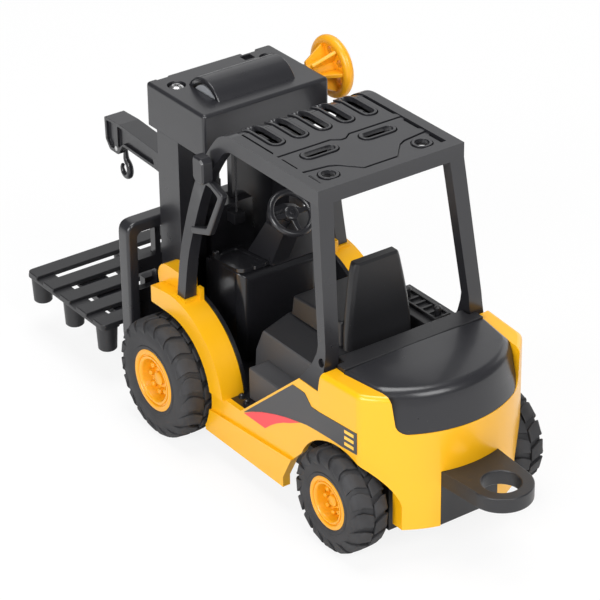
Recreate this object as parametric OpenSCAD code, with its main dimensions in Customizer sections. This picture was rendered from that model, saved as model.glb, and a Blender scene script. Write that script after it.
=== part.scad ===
// Toy forklift: hand-wound mast, load backrest with a jib and hook, a loose pallet,
// an open cab under an overhead guard, and an inertia drive on the front axle.
// Millimetres. +X points to the forks, +Y to the vehicle's left, +Z up.
// The origin lies on the floor, under the middle of the whole outline.

/* [Running gear] */
// Distance between the two axles
wheelbase = 94.8; // [92:0.2:98]
// Front tyre diameter
front_tyre_d = 44; // [43:0.1:44.6]
// Front tyre width
front_tyre_w = 15; // [13:0.1:15.4]
// Width over the front tyres
front_track_w = 90.4; // [90:0.1:94]
// Rear tyre diameter
rear_tyre_d = 36.8; // [36:0.1:37.6]
// Rear tyre width
rear_tyre_w = 13; // [11:0.1:13.2]
// Width over the rear tyres
rear_track_w = 78.8; // [78.6:0.1:84]
// Radius at which a front tyre seats on its rim
front_rim_r = 10.8; // [9.5:0.1:11.5]
// Radius at which a rear tyre seats on its rim
rear_rim_r = 8.8; // [8:0.1:9.4]
// How far a rim's outer lip stands over the tyre seat
rim_lip = 0.8; // [0.4:0.1:1.2]
// Number of wheel bolts moulded on each rim
rim_bolts = 8; // [5:1:10]
// Axle diameter
axle_d = 3; // [2.6:0.1:3.2]
// Radial clearance of a shaft that turns in its hole
run_clear = 0.05; // [0.02:0.01:0.1]

/* [Chassis tray] */
// Outer width of the tray
tray_w = 46; // [44:0.5:48]
// Height of the tray's underside above the floor
tray_z = 8; // [7:0.5:8.5]
// Height of the tray's rim
tray_top = 24; // [23.9:0.1:24.5]
// Thickness of the tray's walls
tray_wall = 2; // [1.5:0.1:2.5]
// How far the tray runs behind the rear axle
tray_tail = 12.6; // [10:0.2:14]
// Radius of the bosses around the front axle
axle_boss_r = 4.2; // [3.2:0.1:4.4]

/* [Body shell] */
// Width over the side panels
body_w = 71; // [70:0.2:73]
// Thickness of the side panels
body_wall = 2; // [1.6:0.1:2.4]
// Height of the side panels' lower edge
sill_z0 = 9; // [8.5:0.1:11]
// Height of the door sill
sill_z1 = 26; // [25.5:0.1:27]
// Height of the pillar seats in the side panels
notch_z = 55.3; // [53:0.1:57]
// Height of the body's top edge
body_top = 62.5; // [61:0.1:63.5]
// Radius of the rounded rear in plan
tail_r = 42; // [40:0.2:44]
// Distance from the rear axle forward to the centre of the rounded rear
tail_ahead = 14.4; // [12:0.2:16]
// How far each side draws in from the rear axle to the rounded rear
tail_draw = 1.7; // [0:0.1:2.2]
// Height of the counterweight's lower edge
tail_z0 = 12.5; // [11:0.1:14]
// Thickness of the counterweight wall
tail_wall = 4; // [3:0.1:5]
// Radius of the rear wheel arches
rear_arch_r = 20.6; // [20:0.1:22]
// Inner radius of the front fenders
fender_r0 = 24.3; // [23.6:0.1:25]
// Outer radius of the front fenders
fender_r1 = 32; // [31:0.1:33]
// Width over the front fenders
fender_w = 74; // [73:0.2:76]
// Width of a fender's top face
fender_band = 9; // [8:0.1:9.4]
// Thickness of a fender's skin
fender_skin = 1.7; // [1.2:0.1:2]
// How far the fender's flat end runs ahead of the front axle
fender_nose = 11.1; // [9:0.1:12]
// How far the lower skirt stands out from the side panel
skirt_out = 1; // [0.6:0.1:1.4]
// Height of the skirt's upper edge at its front end
skirt_z1 = 16.4; // [16:0.1:18]
// How much higher the skirt's upper edge is at its rear end
skirt_rise = 6.6; // [0:0.1:7]
// Thickness of the printed side film
film_t = 0.2; // [0.1:0.05:0.3]

/* [Engine hood] */
// Height of the hood's top
hood_top = 64; // [63:0.1:65.5]
// Height of the hood's lower rear edge
hood_z0 = 49; // [47:0.1:51]
// Half width of the hood at its seam
hood_y0 = 28.8; // [27:0.1:29.4]
// Half width of the hood at its rear corners
hood_y1 = 26.6; // [24:0.1:27]
// Radius of the hood's lower rear corners
hood_round = 4; // [2:0.1:5]
// Distance of the hood seam ahead of the rear axle
hood_seam = 3.4; // [1:0.2:5]
// How much the hood's rear face leans in over its height
hood_lean = 3.8; // [2:0.1:5]
// Thickness of the hood
hood_wall = 2; // [1.5:0.1:2.5]

/* [Cab] */
// Thickness of the cab floor
floor_t = 2; // [1.6:0.1:2.2]
// Half width of the dash console
dash_y = 17.5; // [17:0.1:18.5]
// Length of the dash console
dash_len = 22; // [21.4:0.1:23]
// Height of the dash console's rear top edge
dash_top = 62.2; // [61:0.2:64]
// Wall of the dash console and of the seat base
cab_wall = 1.4; // [1:0.1:1.5]
// Height of the seat base's side edges
seat_base_top = 48; // [45:0.2:50]
// How far the seat base rises from its side edges to the cushion
seat_hump = 7; // [5:0.2:8]
// Half width of the seat base
seat_base_y = 20; // [17:0.2:20.6]
// Thickness of the seat cushion at its front
cushion_t = 6; // [4:0.2:7]
// Width of the seat back
seat_back_w = 25; // [22:0.5:28]
// Height of the seat back's top
seat_back_top = 86; // [80:0.5:88]
// Thickness of the seat back
seat_back_t = 4.6; // [3.5:0.1:5]
// Diameter of the steering wheel
steer_d = 17.6; // [15:0.2:18.5]
// Thickness of the steering wheel's ring
steer_ring_d = 2; // [1.6:0.1:2.4]
// Lean of the steering column from upright, in degrees
steer_lean = 43; // [40:1:46]

/* [Overhead guard] */
// Height of the guard's top
guard_top = 123.3; // [121:0.1:125]
// Half width of the guard's roof
guard_y = 29.5; // [28.5:0.1:30.5]
// Distance of the roof's rear edge ahead of the rear axle
guard_tail = 16.2; // [15:0.2:18]
// Depth of the roof's side rails and rear beam
rail_h = 5.6; // [4:0.1:6.4]
// Width of the roof's side rails
rail_w = 4; // [3:0.1:4.6]
// Thickness of the roof panel
roof_t = 2.2; // [1.6:0.1:2.6]
// How far the roof panel lies below the rails
roof_drop = 0.5; // [0.2:0.1:0.8]
// Radius of the bend from the roof into the front pillars
guard_bend_r = 13.7; // [11:0.1:15]
// Thickness of the front pillars
pillar_t = 4.6; // [3.6:0.1:5]
// Width of the roof's slots
roof_slot_w = 3.6; // [3:0.1:4.8]
// Radius of the roof's round holes
roof_hole_r = 2.5; // [2:0.1:3.2]

/* [Mast] */
// Distance from the front axle forward to the mast's rear face
mast_ahead = 7.5; // [7:0.1:8]
// Width of the mast
mast_w = 52; // [51:0.1:52.2]
// Depth of the mast's uprights
mast_depth = 12.9; // [12:0.1:13.1]
// Width of each upright
upright_w = 6; // [5:0.1:6.4]
// Thickness of the web between the uprights
web_t = 2.8; // [2.2:0.1:3]
// Width of the slot in the web
slot_w = 5.2; // [4.6:0.1:6]
// Height of the mast's foot above the floor
mast_z0 = 10; // [9:0.2:12]
// Height of the mast head's underside
head_z0 = 105.9; // [105.5:0.1:108]
// Height of the mast head's top
head_z1 = 122; // [121.2:0.1:124]
// How far the mast head stands behind the uprights
head_back = 16.4; // [15:0.1:17]
// How far the mast head stands ahead of the uprights
head_front = 6.1; // [5:0.1:6.2]
// Thickness of the mast head's walls
head_wall = 2; // [1.6:0.1:2.2]
// Outer radius of the drum cover on the head
bulge_r = 10.4; // [10.2:0.1:11]
// Half length of the drum cover
bulge_y = 17; // [16.4:0.1:17.4]
// Diameter of the mast screws' heads
screw_head_d = 5.3; // [4.6:0.1:5.6]

/* [Winch] */
// Distance of the winch shaft behind the uprights' rear face
winch_back = 1.1; // [0.8:0.1:1.4]
// Height of the winch shaft
winch_z = 117; // [116.6:0.1:117.4]
// Diameter of the winch shaft
winch_shaft_d = 3; // [2.6:0.1:3.2]
// Radius of the drum's core
drum_r = 3.6; // [3:0.1:4]
// Radius of the drum's flanges
drum_flange_r = 7.4; // [6.5:0.1:7.6]
// Diameter of the lifting cord
cord_d = 0.8; // [0.6:0.1:1]
// Outer diameter of the hand wheel
hand_wheel_d = 23.2; // [20:0.2:24]
// Thickness of the hand wheel's rim
hand_rim_d = 3.8; // [3:0.1:4.2]
// Distance of the hand wheel's rim from the vehicle's centre plane
hand_wheel_y = 38.5; // [37:0.1:40]

/* [Carriage and load] */
// Height of the load backrest's top with the forks at rest
rest_top = 71.2; // [69:0.1:71.6]
// Height of the load backrest's foot with the forks at rest
rest_foot = 22; // [21:0.1:24]
// Half width of the load backrest
rest_y = 38.3; // [36:0.1:39]
// Depth of the load backrest's rim
rest_depth = 6.5; // [5:0.1:6.8]
// Width of the load backrest's rim
rest_rim = 4; // [3:0.1:4.4]
// Thickness of the load backrest's grille
grille_t = 3; // [2.4:0.1:3.2]
// Grille windows in a row
grille_cols = 6; // [4:2:8]
// Bar width between grille windows
grille_bar = 2.2; // [1.6:0.1:2.6]
// Distance from the fork's heel to its tip
fork_len = 51; // [46:0.5:54]
// Width of a fork
fork_w = 11.6; // [8:0.1:12]
// Thickness of a fork
fork_t = 2.8; // [2.2:0.1:3]
// Distance of a fork's centre from the centre plane
fork_y = 22; // [19:0.2:24]
// Width of the jib arm
jib_w = 8.4; // [7:0.1:10]
// Height of the jib's tip with the forks at rest
jib_top = 78.4; // [77:0.1:80]
// Reach of the jib's tip ahead of the load backrest
jib_reach = 61.5; // [58:0.5:62]
// Outer radius of the hook's bowl
hook_r = 3.6; // [3:0.1:4]
// Thickness of the hook
hook_t = 2.6; // [2:0.1:3]
// Radius of the hook pin
hook_pin_r = 0.9; // [0.7:0.05:1.1]
// Side clearance of the hook in the jib
hook_clear = 0.3; // [0.2:0.05:0.5]

/* [Pallet] */
// Length of the pallet along the forks
pallet_len = 53; // [50:0.5:56]
// Half width of the pallet
pallet_y = 40.2; // [38:0.1:41]
// Height of the pallet's deck with the forks at rest
pallet_top = 24.2; // [24:0.1:25]
// Thickness of the deck
deck_t = 2.6; // [2.2:0.1:3]
// Height of the pallet's feet under the deck
foot_h = 9.6; // [9:0.1:12]
// Number of deck boards
boards = 5; // [4:1:6]
// Gap between deck boards
board_gap = 4.5; // [3:0.1:5]
// Width of the side stringers
stringer_w = 7.8; // [6:0.1:9]
// Radius of a foot at the deck
foot_r = 4; // [3:0.1:4.4]
// Gap between the backrest's front and the pallet
pallet_gap = 10; // [8:0.1:11]

/* [Tow hitch] */
// Distance of the tow eye's centre behind the rear axle
eye_back = 41.9; // [40:0.1:44]
// Outer radius of the tow eye
eye_r = 10.8; // [10:0.1:12]
// Radius of the tow eye's hole
eye_hole_r = 6.5; // [5:0.1:7.5]
// Height of the tow eye's underside
eye_z0 = 28; // [26:0.1:29]
// Height of the tow eye's top
eye_z1 = 33.4; // [32.5:0.1:35]
// Half width of the hitch block
hitch_y = 11.8; // [10:0.1:13]

/* [Inertia drive] */
// Teeth on the gear fixed to the front axle
axle_teeth = 24; // [24:1:24]
// Teeth on the idler's small gear
idler_pinion_teeth = 10; // [10:1:10]
// Teeth on the idler's large gear
idler_wheel_teeth = 24; // [24:1:24]
// Teeth on the flywheel's gear
fly_teeth = 10; // [10:1:10]
// Tooth size of the axle gear pair
module_a = 0.8; // [0.78:0.01:0.8]
// Tooth size of the flywheel gear pair
module_b = 0.6; // [0.58:0.01:0.6]
// Radius of the flywheel's disc
fly_r = 7; // [6:0.1:7]
// Radius of the idler's and the flywheel's pins
gear_pin_r = 1; // [0.8:0.05:1.1]

/* [Hidden] */
$fn = 96;

YELLOW = "#f8b820";
ORANGE = "#f79a14";
BLACK = "#2b2c30";
RUBBER = "#222326";
STEEL = "#c9ccd0";
RED = "#e2384a";

// Places along X are first taken from the middle of the wheelbase
front_x = wheelbase / 2;
rear_x = -wheelbase / 2;
axle_r = axle_d / 2;
front_z = front_tyre_d / 2;
rear_z = rear_tyre_d / 2;
front_y1 = front_track_w / 2;
front_y0 = front_y1 - front_tyre_w;
rear_y1 = rear_track_w / 2;
rear_y0 = rear_y1 - rear_tyre_w;

tray_y = tray_w / 2;
body_y = body_w / 2;
body_in = body_y - body_wall;
tail_x = rear_x + tail_ahead;
taper_x = rear_x + 8.4;
hood_draft = 1.2;
fender_y = fender_w / 2;
fender_in = fender_y - fender_band;
liner_t = 1.4;
gap = 0.2;

mast_y = mast_w / 2;
mast_x0 = front_x + mast_ahead;
mast_x1 = mast_x0 + mast_depth;
web_x = mast_x1 - web_t;
head_x0 = mast_x0 - head_back;
head_x1 = mast_x1 + head_front;
winch_x = mast_x0 - winch_back;
winch_r = winch_shaft_d / 2;
cord_r = cord_d / 2;
winding_r = drum_r + cord_d;
cord_x = winch_x + winding_r + cord_r + 0.03;
lug_top = 70;

rest_x0 = mast_x1 + 2.7;
rest_x1 = rest_x0 + rest_depth;
fork_z1 = pallet_top - deck_t - 0.02;
pallet_x0 = rest_x1 + pallet_gap;
pallet_x1 = pallet_x0 + pallet_len;
jib_x1 = rest_x1 + jib_reach;
hook_x = jib_x1 - 7.5;
hook_z = jib_top - 10.9;

eye_x = rear_x - eye_back;
nose_x = max(pallet_x1, jib_x1);
origin_x = (nose_x + eye_x - eye_r) / 2;

floor_z1 = sill_z1;
floor_z0 = floor_z1 - floor_t;
dash_x1 = mast_x0 - 2;
dash_x0 = dash_x1 - dash_len;
dash_slope = 2.4;
hood_x0 = rear_x + hood_seam;
guard_x0 = rear_x + guard_tail;

// Front pillar: its foot, and how far its middle line bows forward on the way up
pillar_foot_x = front_x - 4.8;
pillar_foot_y = 32.5;
pillar_foot_z = front_z + fender_r1 + 0.2;
pillar_bow = [
    [0, 0], [0.232, 3.84], [0.401, 4.58], [0.575, 4.71], [0.707, 4.6], [0.786, 4.1],
    [0.87, 2.94], [0.944, 1.4], [1, 0],
];
bend_x = pillar_foot_x - 26;
bend_turn = 52;
function bend_point(r, a) = [bend_x + r * sin(a), guard_top - guard_bend_r + r * cos(a)];
pillar_top = bend_point(guard_bend_r - rail_h / 2, bend_turn);
function pillar_step(z) = (z - pillar_foot_z) / (pillar_top[1] - pillar_foot_z);
function pillar_height(t) = pillar_foot_z + t * (pillar_top[1] - pillar_foot_z);
function pillar_mid(t) =
    pillar_foot_x + t * (pillar_top[0] - pillar_foot_x) + lookup(t, pillar_bow);
function pillar_half(t) = pillar_t / 2 * (1 - t) + 0.6 * rail_h * t;
function pillar_mid_x(z) = pillar_mid(pillar_step(z));
function pillar_rear_x(z) = pillar_mid_x(z) - pillar_half(pillar_step(z));

// Seat
seat_x0 = rear_x + 20.4;
seat_x1 = front_x - 30.4;
seat_back_x = rear_x + 26.9;
seat_z = seat_base_top + seat_hump;
step_z = floor_z1 + 12;

// Steering column and wheel
steer_x = front_x - 25.4;
steer_z = 85.3;
steer_y = 2.5;
column_y0 = steer_y - 4.9;
column_y1 = steer_y + 2.6;

// Inertia drive: the gears stand in a column above the front axle
pair_a = module_a * (axle_teeth + idler_pinion_teeth) / 2;
pair_b = module_b * (idler_wheel_teeth + fly_teeth) / 2;
train_tilt = 115.7;
idler_x = front_x + pair_a * cos(train_tilt);
idler_z = front_z + pair_a * sin(train_tilt);
fly_x = idler_x;
fly_z = idler_z + pair_b;
case_y0 = -5.5;
case_y1 = 15;
case_wall = 2;
case_nose_x = front_x + module_a * (axle_teeth / 2 + 0.8) + 0.9;
case_nose_z = front_z + module_a * (axle_teeth / 2 + 0.8) + 1;

// ---------------------------------------------------------------- shared shapes

module in_frame() { translate([-origin_x, 0, 0]) children(); }

module both_sides() {
    children();
    mirror([0, 1, 0]) children();
}

module slab(x0, x1, y0, y1, z0, z1) {
    translate([x0, y0, z0]) cube([x1 - x0, y1 - y0, z1 - z0]);
}

module rod_y(x, z, r, y0, y1) {
    translate([x, y0, z]) rotate([-90, 0, 0]) cylinder(h = y1 - y0, r = r);
}

module rod_x(y, z, r, x0, x1) {
    translate([x0, y, z]) rotate([0, 90, 0]) cylinder(h = x1 - x0, r = r);
}

module rod_z(x, y, r, z0, z1) {
    translate([x, y, z0]) cylinder(h = z1 - z0, r = r);
}

// A profile drawn in X and Z, as thick as y0 to y1
module side_plate(points, y0, y1) {
    translate([0, y1, 0]) rotate([90, 0, 0]) linear_extrude(y1 - y0) polygon(points);
}

// A profile drawn in Y and Z, as long as x0 to x1
module end_plate(points, x0, x1) {
    translate([x0, 0, 0]) rotate([90, 0, 90]) linear_extrude(x1 - x0) polygon(points);
}

// A half outline and its mirror image about the first coordinate's zero
function whole(half) = concat(half, [for (i = [len(half) - 1 : -1 : 0]) [-half[i][0], half[i][1]]]);

// A profile of radius and Y, turned about the Y axis through x, z
module turned_y(x, z, points) {
    translate([x, 0, z]) rotate([-90, 0, 0]) rotate_extrude() polygon(points);
}

// A plate square to X with round corners
module rounded_panel(x0, x1, y1, z0, z1, r) {
    slab(x0, x1, -y1 + r, y1 - r, z0, z1);
    slab(x0, x1, -y1, y1, z0 + r, z1 - r);
    for (y = [-y1 + r, y1 - r], z = [z0 + r, z1 - r]) rod_x(y, z, r, x0, x1);
}

// A slot with round ends, cut down through z0 to z1
module slot_z(xa, ya, xb, yb, r, z0, z1) {
    len = norm([xb - xa, yb - ya]);
    translate([xa, ya, z0]) rotate([0, 0, atan2(yb - ya, xb - xa)]) union() {
        cylinder(h = z1 - z0, r = r);
        translate([len, 0, 0]) cylinder(h = z1 - z0, r = r);
        translate([0, -r, 0]) cube([len, 2 * r, z1 - z0]);
    }
}

// Involute spur gear outline, a tooth centred on the angle given
pressure = 25;
function inv_deg(a) = tan(a) * 180 / PI - a;
function tooth_half(r, n, m) =
    90 / n - 0.035 / (n * m / 2) * 180 / PI
    + inv_deg(pressure) - inv_deg(acos(min(1, n * m / 2 * cos(pressure) / r)));
module gear_outline(n, m, angle) {
    pitch = n * m / 2;
    base = pitch * cos(pressure);
    tip = pitch + 0.8 * m;
    root = pitch - 1.05 * m;
    start = max(base, root) + 0.001;
    steps = 5;
    radii = [for (k = [0 : steps]) start + (tip - start) * k / steps];
    polygon([for (i = [0 : n - 1]) let (c = angle + i * 360 / n) each concat(
        [root * [cos(c - tooth_half(start, n, m)), sin(c - tooth_half(start, n, m))]],
        [for (r = radii) r * [cos(c - tooth_half(r, n, m)), sin(c - tooth_half(r, n, m))]],
        [for (k = [steps : -1 : 0]) let (r = radii[k], h = tooth_half(r, n, m))
            r * [cos(c + h), sin(c + h)]],
        [root * [cos(c + tooth_half(start, n, m)), sin(c + tooth_half(start, n, m))]]
    )]);
}
module gear_y(x, z, n, m, angle, y0, y1) {
    translate([x, y1, z]) rotate([90, 0, 0]) linear_extrude(y1 - y0) gear_outline(n, m, angle);
}

// ---------------------------------------------------------------- running gear

module axle(x, z, y1) {
    in_frame() rod_y(x, z, axle_r, -y1, y1);
}

// The profile runs from the tyre's inner side to its outer side
module tyre_at(x, z, r, seat, y0, y1) {
    lip_y = 1.2;
    in_frame() turned_y(x, z, [
        [seat, y0 + 0.8], [seat + 1.4, y0], [r - 4, y0], [r - 0.7, y0 + 2.2],
        [r, y0 + 3.4], [r, y1 - 3.4], [r - 0.7, y1 - 2.2], [r - 4, y1],
        [seat + rim_lip + 0.4, y1], [seat + rim_lip, y1 - 0.3],
        [seat + rim_lip, y1 - lip_y], [seat, y1 - lip_y],
    ]);
}

module rim_at(x, z, seat, y0, y1) {
    lip_y = 1.2;
    hub_r = 3.2;
    web_y = y0 + (y1 - y0) * 0.55;
    bolt_ring = (hub_r + seat - 2) / 2 + 0.4;
    in_frame() union() {
        turned_y(x, z, [
            [axle_r, y0 + 0.8], [hub_r, y0 + 0.8], [hub_r, web_y], [seat - 1.4, web_y],
            [seat - 1.4, y0 + 0.8], [seat, y0 + 0.8], [seat, y1 - lip_y],
            [seat + rim_lip, y1 - lip_y], [seat + rim_lip, y1 - 0.2], [seat - 0.6, y1 - 0.2],
            [seat - 1.8, web_y + 1.5], [hub_r, web_y + 1.5], [hub_r - 0.8, y1 - 2.6],
            [0, y1 - 2.6], [0, y1 - 4], [axle_r, y1 - 4],
        ]);
        for (i = [0 : rim_bolts - 1])
            rod_y(x + bolt_ring * cos(i * 360 / rim_bolts), z + bolt_ring * sin(i * 360 / rim_bolts),
                  0.9, web_y + 1.4, web_y + 2.6);
    }
}

module front_axle() { color(STEEL) axle(front_x, front_z, front_y1 - 4); }
module rear_axle() { color(STEEL) axle(rear_x, rear_z, rear_y1 - 4); }
module front_rim() { rim_at(front_x, front_z, front_rim_r, front_y0, front_y1); }
module rear_rim() { rim_at(rear_x, rear_z, rear_rim_r, rear_y0, rear_y1); }
module front_tyre() { tyre_at(front_x, front_z, front_z, front_rim_r, front_y0, front_y1); }
module rear_tyre() { tyre_at(rear_x, rear_z, rear_z, rear_rim_r, rear_y0, rear_y1); }
module front_rim_left() { color(ORANGE) front_rim(); }
module front_rim_right() { color(ORANGE) mirror([0, 1, 0]) front_rim(); }
module rear_rim_left() { color(ORANGE) rear_rim(); }
module rear_rim_right() { color(ORANGE) mirror([0, 1, 0]) rear_rim(); }
module front_tyre_left() { color(RUBBER) front_tyre(); }
module front_tyre_right() { color(RUBBER) mirror([0, 1, 0]) front_tyre(); }
module rear_tyre_left() { color(RUBBER) rear_tyre(); }
module rear_tyre_right() { color(RUBBER) mirror([0, 1, 0]) rear_tyre(); }

// ---------------------------------------------------------------- inertia drive

plane_a = [-2, 2];
plane_b = [3, 5.4];
plane_c = [6.4, 12];

module axle_gear() {
    color(STEEL) in_frame() difference() {
        union() {
            gear_y(front_x, front_z, axle_teeth, module_a, train_tilt, plane_a[0], plane_a[1]);
            rod_y(front_x, front_z, axle_r + 1.6, plane_a[0] - 1, plane_a[1] + 1);
        }
        rod_y(front_x, front_z, axle_r, plane_a[0] - 2, plane_a[1] + 2);
    }
}

module idler_gear() {
    color(ORANGE) in_frame() difference() {
        union() {
            gear_y(idler_x, idler_z, idler_pinion_teeth, module_a,
                   train_tilt + 180 + 180 / idler_pinion_teeth, plane_a[0], plane_a[1] + 1.1);
            gear_y(idler_x, idler_z, idler_wheel_teeth, module_b, 90, plane_b[0], plane_b[1]);
        }
        rod_y(idler_x, idler_z, gear_pin_r + run_clear, plane_a[0] - 1, plane_b[1] + 1);
    }
}

module flywheel() {
    color(STEEL) in_frame() difference() {
        union() {
            gear_y(fly_x, fly_z, fly_teeth, module_b, 270 + 180 / fly_teeth,
                   plane_b[0], plane_c[0] + 0.1);
            rod_y(fly_x, fly_z, fly_r, plane_c[0], plane_c[1]);
        }
        rod_y(fly_x, fly_z, gear_pin_r + run_clear, plane_b[0] - 1, plane_c[1] + 1);
    }
}

module idler_pin() { color(STEEL) in_frame() rod_y(idler_x, idler_z, gear_pin_r, case_y0, case_y1); }
module flywheel_pin() { color(STEEL) in_frame() rod_y(fly_x, fly_z, gear_pin_r, case_y0, case_y1); }

module gearbox_case() {
    case_x0 = idler_x - 8.2;
    case_x1 = dash_x1 - cab_wall - 0.1;
    case_z0 = tray_z + tray_wall;
    case_z1 = fly_z + fly_r + 2.4;
    nose_z0 = mast_z0 + 4.2;
    plate = [
        [case_x0, case_z0], [mast_x0 - 2.2, case_z0], [mast_x0 - 0.2, nose_z0], [case_nose_x, nose_z0],
        [case_nose_x, case_nose_z], [case_x1, case_nose_z], [case_x1, case_z1], [case_x0, case_z1],
    ];
    color("#4a4b50") in_frame() difference() {
        union() {
            side_plate(plate, case_y0, case_y0 + case_wall);
            side_plate(plate, case_y1 - case_wall, case_y1);
            slab(case_x0, case_x1, case_y0, case_y1, case_z0, case_z0 + 1.4);
            slab(case_x0, case_x1, case_y0, case_y1, case_z1 - 1.6, case_z1);
        }
        rod_y(front_x, front_z, axle_r + 0.5, case_y0 - 1, case_y1 + 1);
        rod_y(front_x, front_z, module_a * (axle_teeth / 2 + 0.8) + 0.4,
              case_y0 + case_wall, case_y1 - case_wall);
        rod_y(idler_x, idler_z, gear_pin_r, case_y0 - 1, case_y1 + 1);
        rod_y(fly_x, fly_z, gear_pin_r, case_y0 - 1, case_y1 + 1);
    }
}

// ---------------------------------------------------------------- chassis

tray_x0 = rear_x - tray_tail;
screw_places = [for (x = [rear_x + 17, front_x - 23], y = [-15.5, 15.5]) [x, y]];
screw_r = 1.1;
screw_post_r = 2.8;

module chassis_tray() {
    color(BLACK) in_frame() difference() {
        union() {
            difference() {
                slab(tray_x0, mast_x0, -tray_y, tray_y, tray_z, tray_top);
                slab(tray_x0 + tray_wall, mast_x0 - tray_wall, -tray_y + tray_wall,
                     tray_y - tray_wall, tray_z + tray_wall, tray_top + 1);
            }
            both_sides() rod_y(front_x, front_z, axle_boss_r, tray_y - 4, tray_y);
        }
        rod_y(front_x, front_z, axle_r + run_clear, -tray_y - 1, tray_y + 1);
        rod_y(rear_x, rear_z, axle_r + run_clear, -tray_y - 1, tray_y + 1);
        slab(mast_x0 - tray_wall - 1, mast_x0 + 1, case_y0 - 0.3, case_y1 + 0.3,
             tray_z + tray_wall, tray_top + 1);
        for (p = screw_places) {
            rod_z(p[0], p[1], screw_r, tray_z - 1, tray_z + tray_wall + 1);
            rod_z(p[0], p[1], 2.8, tray_z - 1, tray_z + 1.1);
        }
    }
}

module chassis_screws() {
    color(STEEL) in_frame() for (p = screw_places) {
        rod_z(p[0], p[1], 2.6, tray_z + 0.1, tray_z + 1.1);
        rod_z(p[0], p[1], screw_r, tray_z + 1.1, tray_z + 9);
    }
}

module tow_hitch() {
    block_x = tail_x - tail_r + 1.6;
    color(BLACK) in_frame() difference() {
        union() {
            slab(block_x, tray_x0, -hitch_y, hitch_y, tail_z0 + 0.4, eye_z1);
            translate([0, 0, eye_z0]) linear_extrude(eye_z1 - eye_z0) polygon([
                [block_x + 1, hitch_y], [eye_x, eye_r], [eye_x, -eye_r], [block_x + 1, -hitch_y],
            ]);
            rod_z(eye_x, 0, eye_r, eye_z0, eye_z1);
        }
        rod_z(eye_x, 0, eye_hole_r, eye_z0 - 1, eye_z1 + 1);
        slab(block_x + 2, tray_x0 - 2, -hitch_y + 2, hitch_y - 2, tail_z0, eye_z1 - 2);
    }
}

// ---------------------------------------------------------------- body shell

rise_x0 = front_x - 40.6;
rise_x1 = rear_x + 19.8;
notch_x1 = rear_x + 9.3;

// How far the side panels stand in at x, behind the rear axle
function drawn_in(x) = (taper_x - x) * tail_draw / 20.5;

module tail_outline(r, y, z0, z1) {
    intersection() {
        union() {
            rod_z(tail_x, 0, r, z0, z1);
            slab(tail_x, front_x, -r, r, z0, z1);
        }
        translate([0, 0, z0]) linear_extrude(z1 - z0) polygon([
            [front_x + 1, y], [taper_x, y], [tail_x - r - 1, y - drawn_in(tail_x - r - 1)],
            [tail_x - r - 1, drawn_in(tail_x - r - 1) - y], [taper_x, -y], [front_x + 1, -y],
        ]);
    }
}

// One side panel seen from the side, from the counterweight to the front fender
module side_profile() {
    side_plate([
        [front_x - fender_r0 + 4.2, sill_z0], [front_x - fender_r0 + 4.2, sill_z1],
        [rise_x0, sill_z1], [rise_x1, notch_z], [notch_x1, notch_z],
        [notch_x1 - 1.4, body_top], [tail_x - tail_r - 1, body_top],
        [tail_x - tail_r - 1, tail_z0], [rear_x - 12, tail_z0], [rear_x - 12, sill_z0],
    ], -fender_y - 1, fender_y + 1);
}

module rear_arch() {
    rod_y(rear_x, rear_z, rear_arch_r, tray_y + 0.6, fender_y + 2);
    side_plate([
        [rear_x, sill_z0 - 2], [rear_x + 28.4, sill_z0 - 2], [rear_x + 28.4, sill_z0 + 4],
        [rear_x + 23.4, rear_z + 4], [rear_x + 17, rear_z + rear_arch_r * 0.5], [rear_x, rear_z],
    ], tray_y + 0.6, fender_y + 2);
    slab(rear_x - rear_arch_r, rear_x, tray_y + 0.6, fender_y + 2, sill_z0 - 2, rear_z);
}

module front_fender() {
    nose_x1 = front_x + fender_nose;
    nose_z1 = front_z + fender_r1 - 1.4;
    lobe_r = 6;
    difference() {
        union() {
            intersection() {
                difference() {
                    rod_y(front_x, front_z, fender_r1, fender_in, fender_y);
                    rod_y(front_x, front_z, fender_r1 - fender_skin, fender_in - 1, fender_y - fender_skin);
                    rod_y(front_x, front_z, fender_r0, fender_in - 1, fender_y + 1);
                }
                slab(front_x - fender_r1 - 1, front_x, 0, fender_y + 1, sill_z1, front_z + fender_r1 + 1);
            }
            side_plate([
                [front_x, front_z + fender_r0], [nose_x1, front_z + fender_r0],
                [nose_x1, nose_z1], [front_x, front_z + fender_r1],
            ], fender_y - fender_skin, fender_y);
            side_plate([
                [front_x, front_z + fender_r1 - fender_skin], [nose_x1, nose_z1 - fender_skin],
                [nose_x1, nose_z1], [front_x, front_z + fender_r1],
            ], fender_in, fender_y);
            side_plate([
                [nose_x1 - fender_skin, front_z + fender_r0], [nose_x1, front_z + fender_r0],
                [nose_x1, nose_z1], [nose_x1 - fender_skin, nose_z1],
            ], mast_y + 0.3, fender_y);
            // Mast lug with its rounded head
            rod_y(mast_x0 + 0.6, front_z + 32.2, lobe_r, mast_y + 0.3, mast_y + 5.9);
            slab(pillar_foot_x + pillar_t / 2 + gap, mast_x0 + 0.6, mast_y + 0.3, mast_y + 5.9,
                 front_z + fender_r1 - 4, front_z + 32.2 + lobe_r);
            slab(pillar_foot_x - 4.1, pillar_foot_x - 1.8, fender_in, fender_in + 1.6,
                 front_z + fender_r1 - 2, front_z + fender_r1 + 3.5);
            // Seat of the front pillar
            slab(pillar_foot_x - 3.2, pillar_foot_x + 3.2, pillar_foot_y - 2.9, pillar_foot_y + 2.9,
                 front_z + fender_r1 - 4, pillar_foot_z);
        }
        rod_y(mast_x0 + 2.6, front_z + 32, mast_pin_r, mast_y - 1, mast_y + 5);
    }
}

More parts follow.
